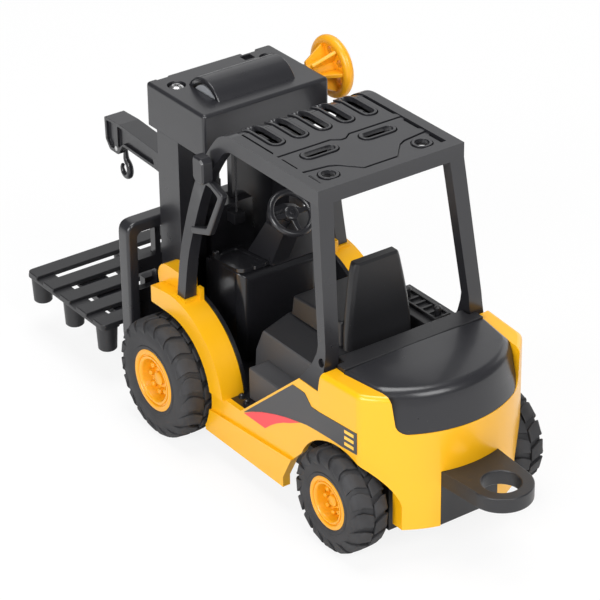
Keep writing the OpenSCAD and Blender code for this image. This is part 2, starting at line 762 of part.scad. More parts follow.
module body_shell() {
    floor_in = tail_wall + 1;
    color(YELLOW) in_frame() difference() {
        union() {
            difference() {
                intersection() {
                    side_profile();
                    union() {
                        tail_outline(tail_r, body_y, sill_z0, body_top);
                        side_plate([
                            [rear_x + 12, sill_z0], [front_x, sill_z0], [front_x, skirt_z1],
                            [rear_x + 12, skirt_z1 + skirt_rise],
                        ], -body_y - skirt_out, body_y + skirt_out);
                    }
                }
                // Everything inside the side panels
                slab(hood_x0 - 0.2, front_x, -body_in, body_in, sill_z0 - 1, body_top + 1);
                // Inside the counterweight, below the hood
                tail_outline(tail_r - tail_wall, body_in - 1, tail_z0 - 5, hood_z0 - 3);
                // Hood opening
                translate([0, 0, hood_z0 - 4]) linear_extrude(body_top) polygon([
                    [hood_x0 + 0.5, hood_y0 + 0.15], [tail_x - 0.66 * tail_r, hood_y1 + 0.15],
                    [tail_x - 0.66 * tail_r, -hood_y1 - 0.15], [hood_x0 + 0.5, -hood_y0 - 0.15],
                ]);
                hood_rear(tail_x - tail_r - 2, tail_x - 0.66 * tail_r + 1, -0.15, body_top + 1);
            }
            both_sides() {
                front_fender();
                slab(hood_x0 - 1, notch_x1 - 1.6, hood_y0 + 0.15, body_in + 0.5, hood_z0, body_top);
                // Ledge that carries the rear pillar's foot
                slab(notch_x1, rise_x1, 26.2, body_in + 0.5, notch_z - 2, notch_z);
            }
        }
        both_sides() {
            rear_arch();
            rod_y(front_x, front_z, front_z + 1, front_y0 - 1, fender_y + 3);
        }
        // Window for the tow hitch
        slab(tail_x - tail_r - 2, tray_x0 + floor_in, -hitch_y - 0.1, hitch_y + 0.1,
             sill_z0 - 1, eye_z1 + 0.1);
    }
}

// Printed band on a side panel: a wide front that narrows over the wheel arch
module side_film() {
    film_x = tail_x - 26;
    film_y = body_y - drawn_in(film_x);
    in_frame() intersection() {
        side_plate([
            [rise_x0 - 2.6, sill_z1 + 0.4], [rise_x1 + 3.2, notch_z - 3.6],
            [rise_x1 - 3, notch_z - 3.6], [rise_x1 - 7, notch_z - 7.6],
            [tail_x - 22, notch_z - 6.2], [tail_x - 22, notch_z - 12.4],
            [rear_x - 4.8, notch_z - 14.9], [rear_x + 15, notch_z - 16.4],
            [rear_x + 24, notch_z - 20.5],
        ], body_y - 6, body_y + 1);
        linear_extrude(body_top) polygon([
            [front_x, body_y], [front_x, body_y + film_t], [taper_x, body_y + film_t],
            [film_x, film_y + film_t], [film_x, film_y], [taper_x, body_y],
        ]);
    }
}
module side_film_left() { color("#55565a") side_film(); }
module side_film_right() { color("#55565a") mirror([0, 1, 0]) side_film(); }

// ---------------------------------------------------------------- hood and deck

// The hood seen from behind, drawn in by w on its sides and below, up to z1
module hood_rear(x0, x1, w, z1) {
    r = hood_round - w;
    y = hood_y1 - hood_draft - w;
    end_plate(whole(concat(
        [for (a = [270 : 15 : 360]) [y - r + r * cos(a), hood_z0 + w + r + r * sin(a)]],
        [[hood_y1 - w, z1]]
    )), x0, x1);
}

// The hood's block, drawn in by w on its sides, below its top and behind
module hood_block(w) {
    tip_x = tail_x - 0.66 * tail_r;
    side = hood_y1 - w;
    intersection() {
        union() {
            hood_rear(tip_x - 20, tip_x, w, hood_top - w);
            translate([0, 0, hood_z0 + 5.2]) linear_extrude(hood_top - hood_z0 - 5.2 - w) polygon([
                [hood_x0, hood_y0 - w], [tip_x, side], [tip_x, -side], [hood_x0, -hood_y0 + w],
            ]);
            slab(tip_x, hood_x0, -side + 1.6, side - 1.6, hood_z0 - w, hood_top - w);
        }
        translate([tail_x, 0, hood_z0])
            cylinder(h = hood_top - hood_z0, r1 = tail_r - 0.1 - w, r2 = tail_r - 0.1 - hood_lean - w);
    }
}

module engine_hood() {
    color(BLACK) in_frame() difference() {
        hood_block(0);
        translate([0.01, 0, 0]) hood_block(hood_wall);
        slab(hood_x0 - 16, hood_x0 + 1, -hood_y1 + hood_wall + 1.6, hood_y1 - hood_wall - 1.6,
             hood_z0 - 1, hood_top - hood_wall);
    }
}

module rear_deck() {
    deck_x1 = rear_x + 18.8;
    color(BLACK) in_frame() union() {
        side_plate([
            [hood_x0 + 0.2, hood_top], [hood_x0 + 8, hood_top], [deck_x1, seat_base_top + 3],
            [deck_x1, seat_base_top], [deck_x1 - 2, seat_base_top], [hood_x0 + 0.2, hood_top - 4],
        ], -25.8, 25.8);
        slab(hood_x0 + 0.2, notch_x1 - 1.6, -hood_y0, hood_y0, hood_top - 4, hood_top);
    }
}

// ---------------------------------------------------------------- cab

module cab_floor() {
    color(BLACK) in_frame() difference() {
        union() {
            slab(rear_x + 27.4, front_x - fender_r1 + 0.6, -body_in + 0.1, body_in - 0.1, floor_z0, floor_z1);
            slab(rear_x + 10, mast_x0 - 0.5, -fender_in + 0.3, fender_in - 0.3, floor_z0, floor_z1);
            both_sides() intersection() {
                rod_y(front_x, front_z, fender_r1 + 0.3, fender_in - 0.2 - liner_t, fender_in - 0.2);
                slab(front_x - fender_r1, front_x - 6.2, 0, fender_in, floor_z0, front_z + fender_r1 + 1);
            }
            for (p = screw_places) rod_z(p[0], p[1], screw_post_r, tray_z + tray_wall, floor_z1);
            slab(seat_x0 + 7, seat_x1 - 5, seat_base_y + 0.1, seat_base_y + 8, floor_z0, step_z);
        }
        slab(seat_x0 + 7 + cab_wall, seat_x1 - 5 - cab_wall, seat_base_y + 0.1 + cab_wall,
             seat_base_y + 8 - cab_wall, floor_z0 - 1, step_z - cab_wall);
        slab(idler_x - 8.4, mast_x0, case_y0 - 0.4, case_y1 + 0.4, floor_z0 - 1, floor_z1 + 1);
        rod_y(front_x, front_z, axle_r + 0.5, -tray_y, tray_y);
        both_sides() slab(front_x - axle_boss_r - 0.4, front_x + axle_boss_r + 0.4, tray_y - 4.4,
                          tray_y + 0.4, floor_z0 - 1, floor_z1 + 1);
        for (p = screw_places) rod_z(p[0], p[1], screw_r, tray_z, tray_z + 9);
        both_sides() rod_y(rear_x, rear_z, rear_arch_r, tray_y + 0.6, fender_y);
    }
}

module side_console() {
    color(BLACK) in_frame() difference() {
        side_plate([
            [seat_x1 - 13, floor_z1], [seat_x1 - 15, notch_z - 0.6], [rise_x1 + 0.1, notch_z - 0.6],
            [rise_x1 + 0.1, floor_z1],
        ], -body_in + 0.1, -seat_base_y - 0.1);
        slab(rise_x1 + 0.6, seat_x1 - 17, -body_in + 1.6, -seat_base_y - 1.6, floor_z1 - 1, notch_z - 2);
        rod_y(rear_x, rear_z, rear_arch_r + 0.4, -fender_y, -seat_base_y);
    }
}

function dash_z(x) = dash_top - (x - dash_x0) * dash_slope / dash_len;

module dash_console() {
    color(BLACK) in_frame() difference() {
        side_plate([
            [dash_x0, floor_z1], [dash_x0, dash_top], [dash_x1, dash_z(dash_x1)], [dash_x1, floor_z1],
        ], -dash_y, dash_y);
        side_plate([
            [dash_x0 + cab_wall, floor_z1 - 1], [dash_x0 + cab_wall, dash_top - cab_wall - 0.2],
            [dash_x1 - cab_wall, dash_z(dash_x1) - cab_wall], [dash_x1 - cab_wall, floor_z1 - 1],
        ], -dash_y + cab_wall, dash_y - cab_wall);
        slab(dash_x1 - cab_wall - 1, dash_x1 + 1, case_y0 - 0.3, case_y1 + 0.3,
             floor_z1 - 1, case_nose_z + 0.3);
    }
}

module dash_lid() {
    lid_x0 = dash_x0 + 0.6;
    lid_x1 = dash_x1 - 1.9;
    color(BLACK) in_frame() side_plate([
        [lid_x0, dash_z(lid_x0)], [lid_x0, dash_z(lid_x0) + 1.4],
        [lid_x1, dash_z(lid_x1) + 1.4], [lid_x1, dash_z(lid_x1)],
    ], column_y1 + 0.1, dash_y);
}

module pedals() {
    color(BLACK) in_frame() for (y = [-10, -2, 7])
        side_plate([
            [dash_x0, floor_z1 + 6], [dash_x0 - 3.4, floor_z1 + 4], [dash_x0 - 4.2, floor_z1 + 5.2],
            [dash_x0, floor_z1 + 8],
        ], y, y + 4.4);
}

module at_wheel() {
    translate([steer_x, steer_y, steer_z]) rotate([0, -steer_lean, 0]) children();
}

module steering_column() {
    foot_x = dash_x0 + 14.8;
    color(BLACK) in_frame() union() {
        side_plate([
            [dash_x0, dash_top], [steer_x + 1.1, steer_z - 8.1], [steer_x + 11.4, steer_z - 7.4],
            [foot_x, dash_z(foot_x)],
        ], column_y0, column_y1);
        at_wheel() {
            translate([0, 0, -14.5]) cylinder(h = 12.4, r = 2.6);
            translate([0, 0, -3]) cylinder(h = 4, r = 1.2);
        }
    }
}

module steering_wheel() {
    ring_r = (steer_d - steer_ring_d) / 2;
    color(BLACK) in_frame() at_wheel() difference() {
        union() {
            rotate_extrude() translate([ring_r, 0]) circle(r = steer_ring_d / 2, $fn = 24);
            translate([0, 0, -1.8]) cylinder(h = 2.6, r = 2.6);
            for (a = [90, 210, 330]) rotate([0, 0, a]) translate([1.5, -0.9, -1])
                cube([ring_r - 1.5, 1.8, 1.4]);
        }
        translate([0, 0, -2]) cylinder(h = 4, r = 1.2 + run_clear);
    }
}

// The seat base's block with its humped top, drawn in by w
module seat_block(w) {
    intersection() {
        side_plate([
            [seat_x0 + w, floor_z1 - w], [seat_x0 + w, seat_z - w], [seat_x1 - 6.5 - w, seat_z - w],
            [seat_x1 - 1.6 - w, seat_base_top - w], [seat_x1 + 2.6 - w, floor_z1 + 13],
            [seat_x1 + 3.3 - w, floor_z1 + 5], [seat_x1 + 3.3 - w, floor_z1 - w],
        ], -seat_base_y, seat_base_y);
        end_plate(whole([
            [seat_base_y - w, floor_z1 - w], [seat_base_y - w, seat_base_top - w],
            [seat_back_w / 2 - w / 2, seat_z - w],
        ]), seat_x0 - 1, seat_x1 + 4);
    }
}

module seat_base() {
    color(BLACK) in_frame() difference() {
        seat_block(0);
        seat_block(cab_wall);
    }
}

module seat_cushion() {
    half = seat_back_w / 2;
    back_x = seat_back_x + 0.4;
    color(BLACK) in_frame() side_plate([
        [back_x, seat_z], [back_x, seat_z + cushion_t + 2], [seat_x1 - 9.5, seat_z + cushion_t],
        [seat_x1 - 8.1, seat_z],
    ], -half, half);
}

module seat_back() {
    half = seat_back_w / 2;
    front_x0 = seat_back_x + 0.3;
    rear_x0 = seat_back_x - seat_back_t;
    color(BLACK) in_frame() side_plate([
        [front_x0, seat_z], [rear_x0 + 0.6, seat_z], [rear_x0 + 1.6, seat_back_top - 1],
        [rear_x0 + 2.6, seat_back_top], [seat_back_x + 0.8, seat_back_top],
        [seat_back_x + 1.8, seat_back_top - 1], [front_x0, seat_z + cushion_t + 2],
    ], -half, half);
}

// ---------------------------------------------------------------- overhead guard

// The roof's outline from the side: flat, then bent down into the pillars
function bend(r, steps = 8) = [for (i = [0 : steps]) bend_point(r, bend_turn * i / steps)];
function bend_back(r, steps = 8) = [for (i = [steps : -1 : 0]) bend_point(r, bend_turn * i / steps)];

module roof_band(depth0, depth1, y0, y1) {
    side_plate(concat(
        [[guard_x0, guard_top - depth0]], bend(guard_bend_r - depth0),
        bend_back(guard_bend_r - depth1), [[guard_x0, guard_top - depth1]]
    ), y0, y1);
}

// Both pillars are drawn once from the side and once from behind
module front_pillar() {
    last = len(pillar_bow) - 2;
    half = pillar_t / 2;
    intersection() {
        side_plate(concat(
            [for (i = [0 : last]) let (t = pillar_bow[i][0])
                [pillar_mid(t) + pillar_half(t), pillar_height(t)]],
            [bend_point(guard_bend_r, bend_turn - 1), bend_point(guard_bend_r - rail_h, bend_turn - 1)],
            [for (i = [last : -1 : 0]) let (t = pillar_bow[i][0])
                [pillar_mid(t) - pillar_half(t), pillar_height(t)]]
        ), guard_y - rail_w - 1, pillar_foot_y + half + 1);
        end_plate([
            [pillar_foot_y - half, pillar_foot_z], [pillar_foot_y + half, pillar_foot_z],
            [guard_y, pillar_top[1]], [guard_y, guard_top], [guard_y - rail_w, guard_top],
            [guard_y - rail_w, pillar_top[1]],
        ], bend_x, pillar_foot_x + 10);
    }
}

module rear_pillar() {
    knee_z = notch_z + 11;
    top_z = guard_top - rail_h + 1;
    intersection() {
        side_plate([
            [guard_x0, top_z], [guard_x0 + 4.4, top_z], [guard_x0 - 2.9, notch_z + 14],
            [guard_x0 + 1.9, notch_z + 2.1], [rise_x1 - 0.1, notch_z], [notch_x1 + 0.1, notch_z],
            [guard_x0 - 7.2, knee_z],
        ], guard_y - 7, body_y + 1);
        end_plate([
            [guard_y - 6, top_z], [guard_y, top_z], [guard_y + 2.9, knee_z], [body_y, notch_z],
            [guard_y - 1.4, notch_z], [guard_y - 2.6, knee_z],
        ], guard_x0 - 10, guard_x0 + 8);
    }
}

slot_x0 = bend_x - 9.8;
cross_x = bend_x - 24.3;
slot_y = [for (i = [-2 : 2]) 9.5 * i];

module overhead_guard() {
    color(BLACK) in_frame() difference() {
        union() {
            roof_band(roof_drop, roof_drop + roof_t, -guard_y + 1, guard_y - 1);
            both_sides() {
                roof_band(0, rail_h, guard_y - rail_w, guard_y);
                front_pillar();
                rear_pillar();
                rod_y(pillar_mid_x(lamp_z), lamp_z, 1.4, guard_y - 1, lamp_y0);
            }
            slab(guard_x0, guard_x0 + 4.4, -guard_y, guard_y, guard_top - rail_h, guard_top);
        }
        for (y = slot_y) {
            slot_z(slot_x0, y, slot_x0 + 16, y, roof_slot_w / 2, guard_top - rail_h - 3, guard_top + 1);
        }
        for (s = [-1, 1]) {
            slot_z(cross_x, s * 7.8, cross_x, s * 15.8, roof_slot_w / 2,
                   guard_top - rail_h - 3, guard_top + 1);
            rod_z(bend_x - 39, s * 18.9, roof_hole_r, guard_top - rail_h - 3, guard_top + 1);
        }
    }
}

lamp_y0 = guard_y + 1.7;
lamp_z = guard_top - 15;
module work_lamp() {
    x = pillar_mid_x(lamp_z) - 1;
    in_frame() difference() {
        side_plate([
            [x - 2.2, lamp_z - 4.7], [x - 3.1, lamp_z - 3], [x - 3.1, lamp_z + 3.3],
            [x - 1.6, lamp_z + 4.7], [x + 2.4, lamp_z + 4.7], [x + 3.1, lamp_z + 3],
            [x + 3.1, lamp_z - 2.6], [x + 1.6, lamp_z - 4.7],
        ], lamp_y0, lamp_y0 + 4);
        slab(x + 2.4, x + 5, lamp_y0 + 0.7, lamp_y0 + 3.3, lamp_z - 2, lamp_z + 2.4);
    }
}
module work_lamp_left() { color(BLACK) work_lamp(); }
module work_lamp_right() { color(BLACK) mirror([0, 1, 0]) work_lamp(); }

module grab_handle() {
    z0 = pillar_foot_z + 25.3;
    z1 = pillar_foot_z + 47.7;
    bar = 2.5;
    top_x = pillar_rear_x(z1) - 9.1;
    foot_x = pillar_rear_x(z0) - 7.4;
    color(BLACK) in_frame() difference() {
        side_plate([
            [pillar_rear_x(z1), z1], [top_x, z1 - 1.6], [foot_x, z0 + 2.6], [pillar_rear_x(z0), z0],
            [pillar_rear_x(z0 + bar), z0 + bar], [pillar_rear_x(z1 - bar), z1 - bar],
        ], 28.6, 31.2);
        side_plate([
            [pillar_rear_x(z1 - bar) + 1, z1 - bar + 0.9], [top_x + 3.2, z1 - bar - 1],
            [foot_x + 1.2, z0 + 4.2], [pillar_rear_x(z0 + bar) + 1, z0 + bar],
        ], 28, 32);
    }
}

// ---------------------------------------------------------------- mast

mast_screw_x = mast_x0 + 10;
mast_screw_y = 19.2;
slot_z0 = 16;
mast_pin_r = 1.5;

module mast_frame() {
    color(BLACK) in_frame() difference() {
        union() {
            both_sides() slab(mast_x0, mast_x1, mast_y - upright_w, mast_y, mast_z0, head_z0);
            slab(web_x, mast_x1, -mast_y, mast_y, mast_z0, head_z0);
            slab(mast_x0, mast_x1, -mast_y, mast_y, mast_z0, mast_z0 + 4);
            for (s = [-1, 1]) rod_z(mast_screw_x, s * mast_screw_y, 2.1, 96, head_z1 - 4);
        }
        slab(web_x - 1, mast_x1 + 1, -slot_w / 2, slot_w / 2, slot_z0, head_z0 + 1);
        both_sides() rod_y(mast_x0 + 2.6, front_z + 32, mast_pin_r, mast_y - upright_w - 1, mast_y + 1);
        for (s = [-1, 1]) rod_z(mast_screw_x, s * mast_screw_y, 1.1, head_z1 - 14, head_z1);
    }
}

module mast_pins() {
    color(STEEL) in_frame() both_sides()
        rod_y(mast_x0 + 2.6, front_z + 32, mast_pin_r, mast_y - upright_w + 1, mast_y + 4.8);
}

module mast_head() {
    inner_r = drum_flange_r + 0.9;
    color(BLACK) in_frame() difference() {
        union() {
            difference() {
                slab(head_x0, head_x1, -mast_y, mast_y, head_z0, head_z1);
                slab(head_x0 + head_wall, head_x1 - head_wall, -mast_y + head_wall, mast_y - head_wall,
                     head_z0 + 1.6, head_z1 - head_wall);
                slab(mast_x0 - 0.1, mast_x1 + 0.1, -mast_y + head_wall, mast_y - head_wall,
                     head_z0 - 1, head_z0 + 2);
            }
            rod_y(winch_x, winch_z, bulge_r, -bulge_y, bulge_y);
            for (s = [-1, 1])
                slab(winch_x - 4, winch_x + 4, s * (bulge_y + 1) - 1, s * (bulge_y + 1) + 1,
                     winch_z - 5, head_z1 - 1);
            for (s = [-1, 1])
                rod_z(mast_screw_x, s * mast_screw_y, 4.2, head_z1 - 4, head_z1 - 1);
        }
        rod_y(winch_x, winch_z, inner_r, -bulge_y + 1.4, bulge_y - 1.4);
        slab(winch_x - bulge_r - 1, winch_x + bulge_r + 1, -bulge_y - 0.1, bulge_y + 0.1,
             head_z0 - 10, winch_z - 4.4);
        rod_y(winch_x, winch_z, winch_r + run_clear, -mast_y - 1, bulge_y + 3);
        for (s = [-1, 1]) {
            rod_z(mast_screw_x, s * mast_screw_y, 1.1, head_z1 - 5, head_z1);
            rod_z(mast_screw_x, s * mast_screw_y, screw_head_d / 2 + 0.55, head_z1 - 1.6, head_z1 + 1);
        }
    }
}

module mast_screws() {
    color(STEEL) in_frame() for (s = [-1, 1]) translate([mast_screw_x, s * mast_screw_y, 0]) {
        difference() {
            union() {
                translate([0, 0, head_z1 - 1.6]) cylinder(h = 0.8, r = screw_head_d / 2);
                translate([0, 0, head_z1 - 0.8]) cylinder(h = 0.7, r1 = screw_head_d / 2, r2 = 1.6);
            }
            translate([-1.4, -0.3, head_z1 - 0.8]) cube([2.8, 0.6, 2]);
            translate([-0.3, -1.4, head_z1 - 0.8]) cube([0.6, 2.8, 2]);
        }
        translate([0, 0, head_z1 - 13]) cylinder(h = 11.4, r = 1.1);
    }
}

// ---------------------------------------------------------------- winch

module winch_shaft() {
    color(STEEL) in_frame() rod_y(winch_x, winch_z, winch_r, -hand_wheel_y + 1, bulge_y + 1.8);
}

module winch_drum() {
    drum_y = bulge_y - 2;
    color(BLACK) in_frame() turned_y(winch_x, winch_z, [
        [winch_r, -drum_y], [drum_flange_r, -drum_y], [drum_flange_r, -drum_y + 1.4], [drum_r, -drum_y + 1.4],
        [drum_r, drum_y - 1.4], [drum_flange_r, drum_y - 1.4], [drum_flange_r, drum_y], [winch_r, drum_y],
    ]);
}

module cord_winding() {
    color(RUBBER) in_frame() turned_y(winch_x, winch_z, [
        [drum_r, -3.2], [winding_r, -3.2], [winding_r, 3.2], [drum_r, 3.2],
    ]);
}

module hand_wheel() {
    rim_mid = (hand_wheel_d - hand_rim_d) / 2;
    y0 = -hand_wheel_y;
    y1 = -mast_y - 1;
    color(ORANGE) in_frame() difference() {
        union() {
            translate([winch_x, y0, winch_z]) rotate([-90, 0, 0]) rotate_extrude()
                translate([rim_mid, 0]) circle(r = hand_rim_d / 2, $fn = 32);
            turned_y(winch_x, winch_z, [
                [winch_r, y0 + 1], [3.4, y0 + 1], [rim_mid - 0.6, y0 - 0.6], [rim_mid + 0.4, y0 + 1.2],
                [5.4, y0 + 5.6], [4.2, y1], [winch_r, y1],
            ]);
            turned_y(winch_x, winch_z, [[0, y0 - 0.6], [3.4, y0 - 0.6], [3.4, y0 + 1], [0, y0 + 1]]);
        }
        for (a = [30 : 60 : 330])
            rod_y(winch_x + 6.7 * cos(a), winch_z + 6.7 * sin(a), 1.5, y0 - 4, y1 + 1);
    }
}

module drag_washer() {
    color(RUBBER) in_frame() difference() {
        rod_y(winch_x, winch_z, 3.8, -mast_y - 0.95, -mast_y - 0.1);
        rod_y(winch_x, winch_z, winch_r, -mast_y - 2, -mast_y);
    }
}

module lifting_cord() {
    color(RUBBER) in_frame() rod_z(cord_x, 0, cord_r, lug_top, winch_z);
}

// ---------------------------------------------------------------- carriage

module carriage() {
    neck = slot_w / 2 - gap;
    plate_x = rest_x1 - grille_t;
    color(BLACK) in_frame() union() {
        slab(rest_x0 + 0.5, plate_x, -15, 15, 28, 64);
        slab(web_x - 0.2, rest_x0, -neck, neck, 30, 72);
        slab(rest_x0 - 0.2, rest_x0 + 1, -neck, neck, 30, 64);
        slab(web_x - 3.4, web_x - 0.2, -9, 9, 40, 72);
        slab(cord_x - 2, web_x - 3.2, -2.2, 2.2, lug_top - 4, lug_top);
        for (s = [-1, 1]) slab(mast_x1 + gap, rest_x0 + 1, s * 11 - 3, s * 11 + 3, 30, 64);
    }
}

module load_backrest() {
    win_z0 = rest_top - 25.2;
    win_z1 = rest_top - rest_rim;
    win_mid = (win_z0 + win_z1) / 2;
    inner = rest_y - rest_rim;
    win_w = (2 * inner - (grille_cols - 1) * grille_bar) / grille_cols;
    color(BLACK) in_frame() difference() {
        rounded_panel(rest_x0, rest_x1, rest_y, rest_foot, rest_top, 4.5);
        rounded_panel(rest_x0 - 1, rest_x1 - grille_t, inner, rest_foot + rest_rim, rest_top - rest_rim, 2.5);
        for (i = [0 : grille_cols - 1]) let (y = -inner + i * (win_w + grille_bar)) {
            slab(rest_x0, rest_x1 + 1, y, y + win_w, win_z0, win_mid - grille_bar / 2);
            slab(rest_x0, rest_x1 + 1, y, y + win_w, win_mid + grille_bar / 2, win_z1 - 1);
        }
    }
}

module fork() {
    y0 = fork_y - fork_w / 2;
    y1 = fork_y + fork_w / 2;
    in_frame() union() {
        slab(rest_x1, rest_x1 + 3.4, y0, y1, fork_z1 - fork_t, rest_top - 27);
        side_plate([
            [rest_x1, fork_z1 - fork_t], [rest_x1, fork_z1], [rest_x1 + fork_len - 2, fork_z1],
            [rest_x1 + fork_len, fork_z1 - 0.9], [rest_x1 + fork_len, fork_z1 - 1.2],
            [rest_x1 + fork_len - 18, fork_z1 - fork_t],
        ], y0, y1);
    }
}
module fork_left() { color(BLACK) fork(); }
module fork_right() { color(BLACK) mirror([0, 1, 0]) fork(); }

module jib_arm() {
    under = jib_top - 8.9;
    bend_r0 = 13;
    gusset_x = rest_x1 + 24;
    root_x = head_x1 + 0.5;
    slot_half = hook_t / 2 + hook_clear;
    color(BLACK) in_frame() difference() {
        side_plate(concat(
            [[root_x, rest_top], [root_x, jib_top - 4.4], [jib_x1, jib_top], [jib_x1 - 0.4, jib_top - 9.3],
             [jib_x1 - 3.3, jib_top - 13.2], [jib_x1 - 9, jib_top - 13.2], [jib_x1 - 11.4, under]],
            [for (i = [0 : 6]) let (a = i * 15)
                [gusset_x + bend_r0 - bend_r0 * sin(a), under - bend_r0 + bend_r0 * cos(a)]],
            [[gusset_x - 1, jib_top - 30], [rest_x1, jib_top - 34], [rest_x1, rest_top]]
        ), -jib_w / 2, jib_w / 2);
        slab(jib_x1 - 14, jib_x1 - 1.6, -slot_half, slot_half, jib_top - 20, jib_top - 4);
        rod_y(hook_x, hook_z, hook_pin_r, -jib_w, jib_w);
    }
}

module hook_pin() { color(STEEL) in_frame() rod_y(hook_x, hook_z, hook_pin_r, -jib_w / 2, jib_w / 2); }

module hook() {
    bowl_z = hook_z - 10;
    wall = 1.5;
    half = hook_t / 2;
    color(BLACK) in_frame() difference() {
        union() {
            rod_y(hook_x, hook_z, 2, -half, half);
            slab(hook_x - 1, hook_x + 1, -half, half, bowl_z + hook_r - 1.2, hook_z);
            difference() {
                rod_y(hook_x, bowl_z, hook_r, -half, half);
                rod_y(hook_x, bowl_z, hook_r - wall, -half - 1, half + 1);
                slab(hook_x + 0.8, hook_x + 6, -half - 1, half + 1, bowl_z + 0.4, bowl_z + 6);
            }
            rod_y(hook_x + hook_r - wall / 2, bowl_z + 0.4, wall / 2, -half, half);
        }
        rod_y(hook_x, hook_z, hook_pin_r + run_clear, -half - 1, half + 1);
    }
}

module pallet() {
    board_w = (pallet_len - (boards - 1) * board_gap) / boards;
    deck_z0 = pallet_top - deck_t;
    color(BLACK) in_frame() union() {
        for (i = [0 : boards - 1]) let (x = pallet_x0 + i * (board_w + board_gap))
            slab(x, x + board_w, -pallet_y, pallet_y, deck_z0, pallet_top);
        both_sides() slab(pallet_x0, pallet_x1, pallet_y - stringer_w, pallet_y, deck_z0, pallet_top - 1.2);
        slab(pallet_x0, pallet_x1, -stringer_w / 2, stringer_w / 2, deck_z0, pallet_top - 1.2);
        for (x = [pallet_x0 + foot_r, (pallet_x0 + pallet_x1) / 2, pallet_x1 - foot_r],
             y = [-pallet_y + foot_r, 0, pallet_y - foot_r])
            translate([x, y, deck_z0 - foot_h]) cylinder(h = foot_h + 0.5, r1 = foot_r - 0.5, r2 = foot_r);
    }
}

// ---------------------------------------------------------------- nodes

body_shell();
chassis_tray();
chassis_screws();
tow_hitch();
engine_hood();
rear_deck();
side_film_left();
side_film_right();
cab_floor();
side_console();
dash_console();
dash_lid();
pedals();
steering_column();
seat_base();
seat_cushion();
seat_back();
overhead_guard();
work_lamp_left();
work_lamp_right();
grab_handle();
mast_frame();
mast_head();
mast_screws();
mast_pins();
lifting_cord();
gearbox_case();
idler_pin();
flywheel_pin();
steering_wheel();
winch_shaft();
winch_drum();
cord_winding();
hand_wheel();
drag_washer();
carriage();
load_backrest();
fork_left();
fork_right();
jib_arm();
hook_pin();
hook();
pallet();
front_axle();
axle_gear();
front_rim_left();
front_rim_right();
front_tyre_left();
front_tyre_right();
rear_axle();
rear_rim_left();
rear_rim_right();
rear_tyre_left();
rear_tyre_right();
idler_gear();
flywheel();
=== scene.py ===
"""Looks of a toy forklift: moulded shells, tyres, rims, winch, cab and load gear."""

import contextlib
import functools
import logging
import math
from dataclasses import dataclass
from enum import Enum
from typing import Callable, Iterable, Iterator, Sequence, Union

import bmesh
import bpy
from mathutils import Matrix, Vector


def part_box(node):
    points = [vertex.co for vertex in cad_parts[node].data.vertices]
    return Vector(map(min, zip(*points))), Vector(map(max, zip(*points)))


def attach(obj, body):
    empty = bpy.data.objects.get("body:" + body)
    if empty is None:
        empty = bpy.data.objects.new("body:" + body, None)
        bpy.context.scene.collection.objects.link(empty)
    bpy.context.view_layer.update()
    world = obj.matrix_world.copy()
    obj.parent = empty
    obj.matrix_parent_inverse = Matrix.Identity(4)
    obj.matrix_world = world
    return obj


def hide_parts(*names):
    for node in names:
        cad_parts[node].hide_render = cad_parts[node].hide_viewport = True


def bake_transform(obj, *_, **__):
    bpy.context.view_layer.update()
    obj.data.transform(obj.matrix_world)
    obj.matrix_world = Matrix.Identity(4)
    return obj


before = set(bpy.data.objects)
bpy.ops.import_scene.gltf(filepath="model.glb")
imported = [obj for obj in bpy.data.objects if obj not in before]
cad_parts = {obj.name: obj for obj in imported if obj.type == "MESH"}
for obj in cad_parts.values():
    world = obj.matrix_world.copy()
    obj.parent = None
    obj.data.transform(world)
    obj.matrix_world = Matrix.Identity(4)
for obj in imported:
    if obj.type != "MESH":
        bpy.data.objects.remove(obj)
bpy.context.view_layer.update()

logging.basicConfig(level=logging.INFO, format="%(message)s")
LOG = logging.getLogger("forklift")

X, Y, Z = range(3)
Y_AXIS, Z_AXIS = (0.0, 1.0, 0.0), (0.0, 0.0, 1.0)

# Modelling is done in vehicle millimetres: X from the middle of the wheelbase, Y from the
# centre plane, Z from the floor. TO_FRAME brings a finished mesh into the frame's metres.
MM = 0.001
CAD_MERGE = 0.003  # points of a CAD mesh nearer than this are one
SMOOTH = 32.0  # degrees under which an edge shades smooth
MID_X = sum(corner.x for node in ("front_axle", "rear_axle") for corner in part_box(node)) / 4
TO_FRAME = Matrix.Translation((MID_X, 0.0, 0.0)) @ Matrix.Diagonal((MM, MM, MM, 1.0))
TO_VEHICLE = TO_FRAME.inverted()

Point = tuple[float, float, float]
Flat = tuple[float, float]
EdgeTest = Callable[[bmesh.types.BMEdge], bool]
FaceTest = Callable[[bmesh.types.BMFace], bool]


@dataclass(frozen=True)
class Bend:
    """Where a piece that crosses a joint leaves its own body and reaches the next one."""

    body: "Body"
    start: Vector
    end: Vector


class Body(str, Enum):
    """The moving bodies that pieces ride on."""

    TRUCK = "truck"
    FRONT_WHEELS = "front_wheels"
    REAR_WHEELS = "rear_wheels"
    STEERING = "steering_wheel"
    WINCH = "winch"
    CARRIAGE = "carriage"
    HOOK = "hook"
    PALLET = "pallet"


class Plane(str, Enum):
    """The plane that a flat outline is drawn in."""

    SIDE = "XZ"
    PLAN = "XY"
    FACE = "YZ"

    def lift(self, point: Flat, depth: float) -> Vector:
        """Place a flat point in space, at a depth along the plane's normal."""
        a, b = point
        if self is Plane.SIDE:
            return Vector((a, depth, b))
        if self is Plane.PLAN:
            return Vector((a, b, depth))
        return Vector((depth, a, b))

    @property
    def normal(self) -> Vector:
        """The direction that depth is measured in."""
        return self.lift((0.0, 0.0), 1.0)


def span(node: str) -> tuple[Vector, Vector]:
    """Lowest and highest corner of a CAD node, in vehicle millimetres."""
    low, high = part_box(node)
    return TO_VEHICLE @ low, TO_VEHICLE @ high


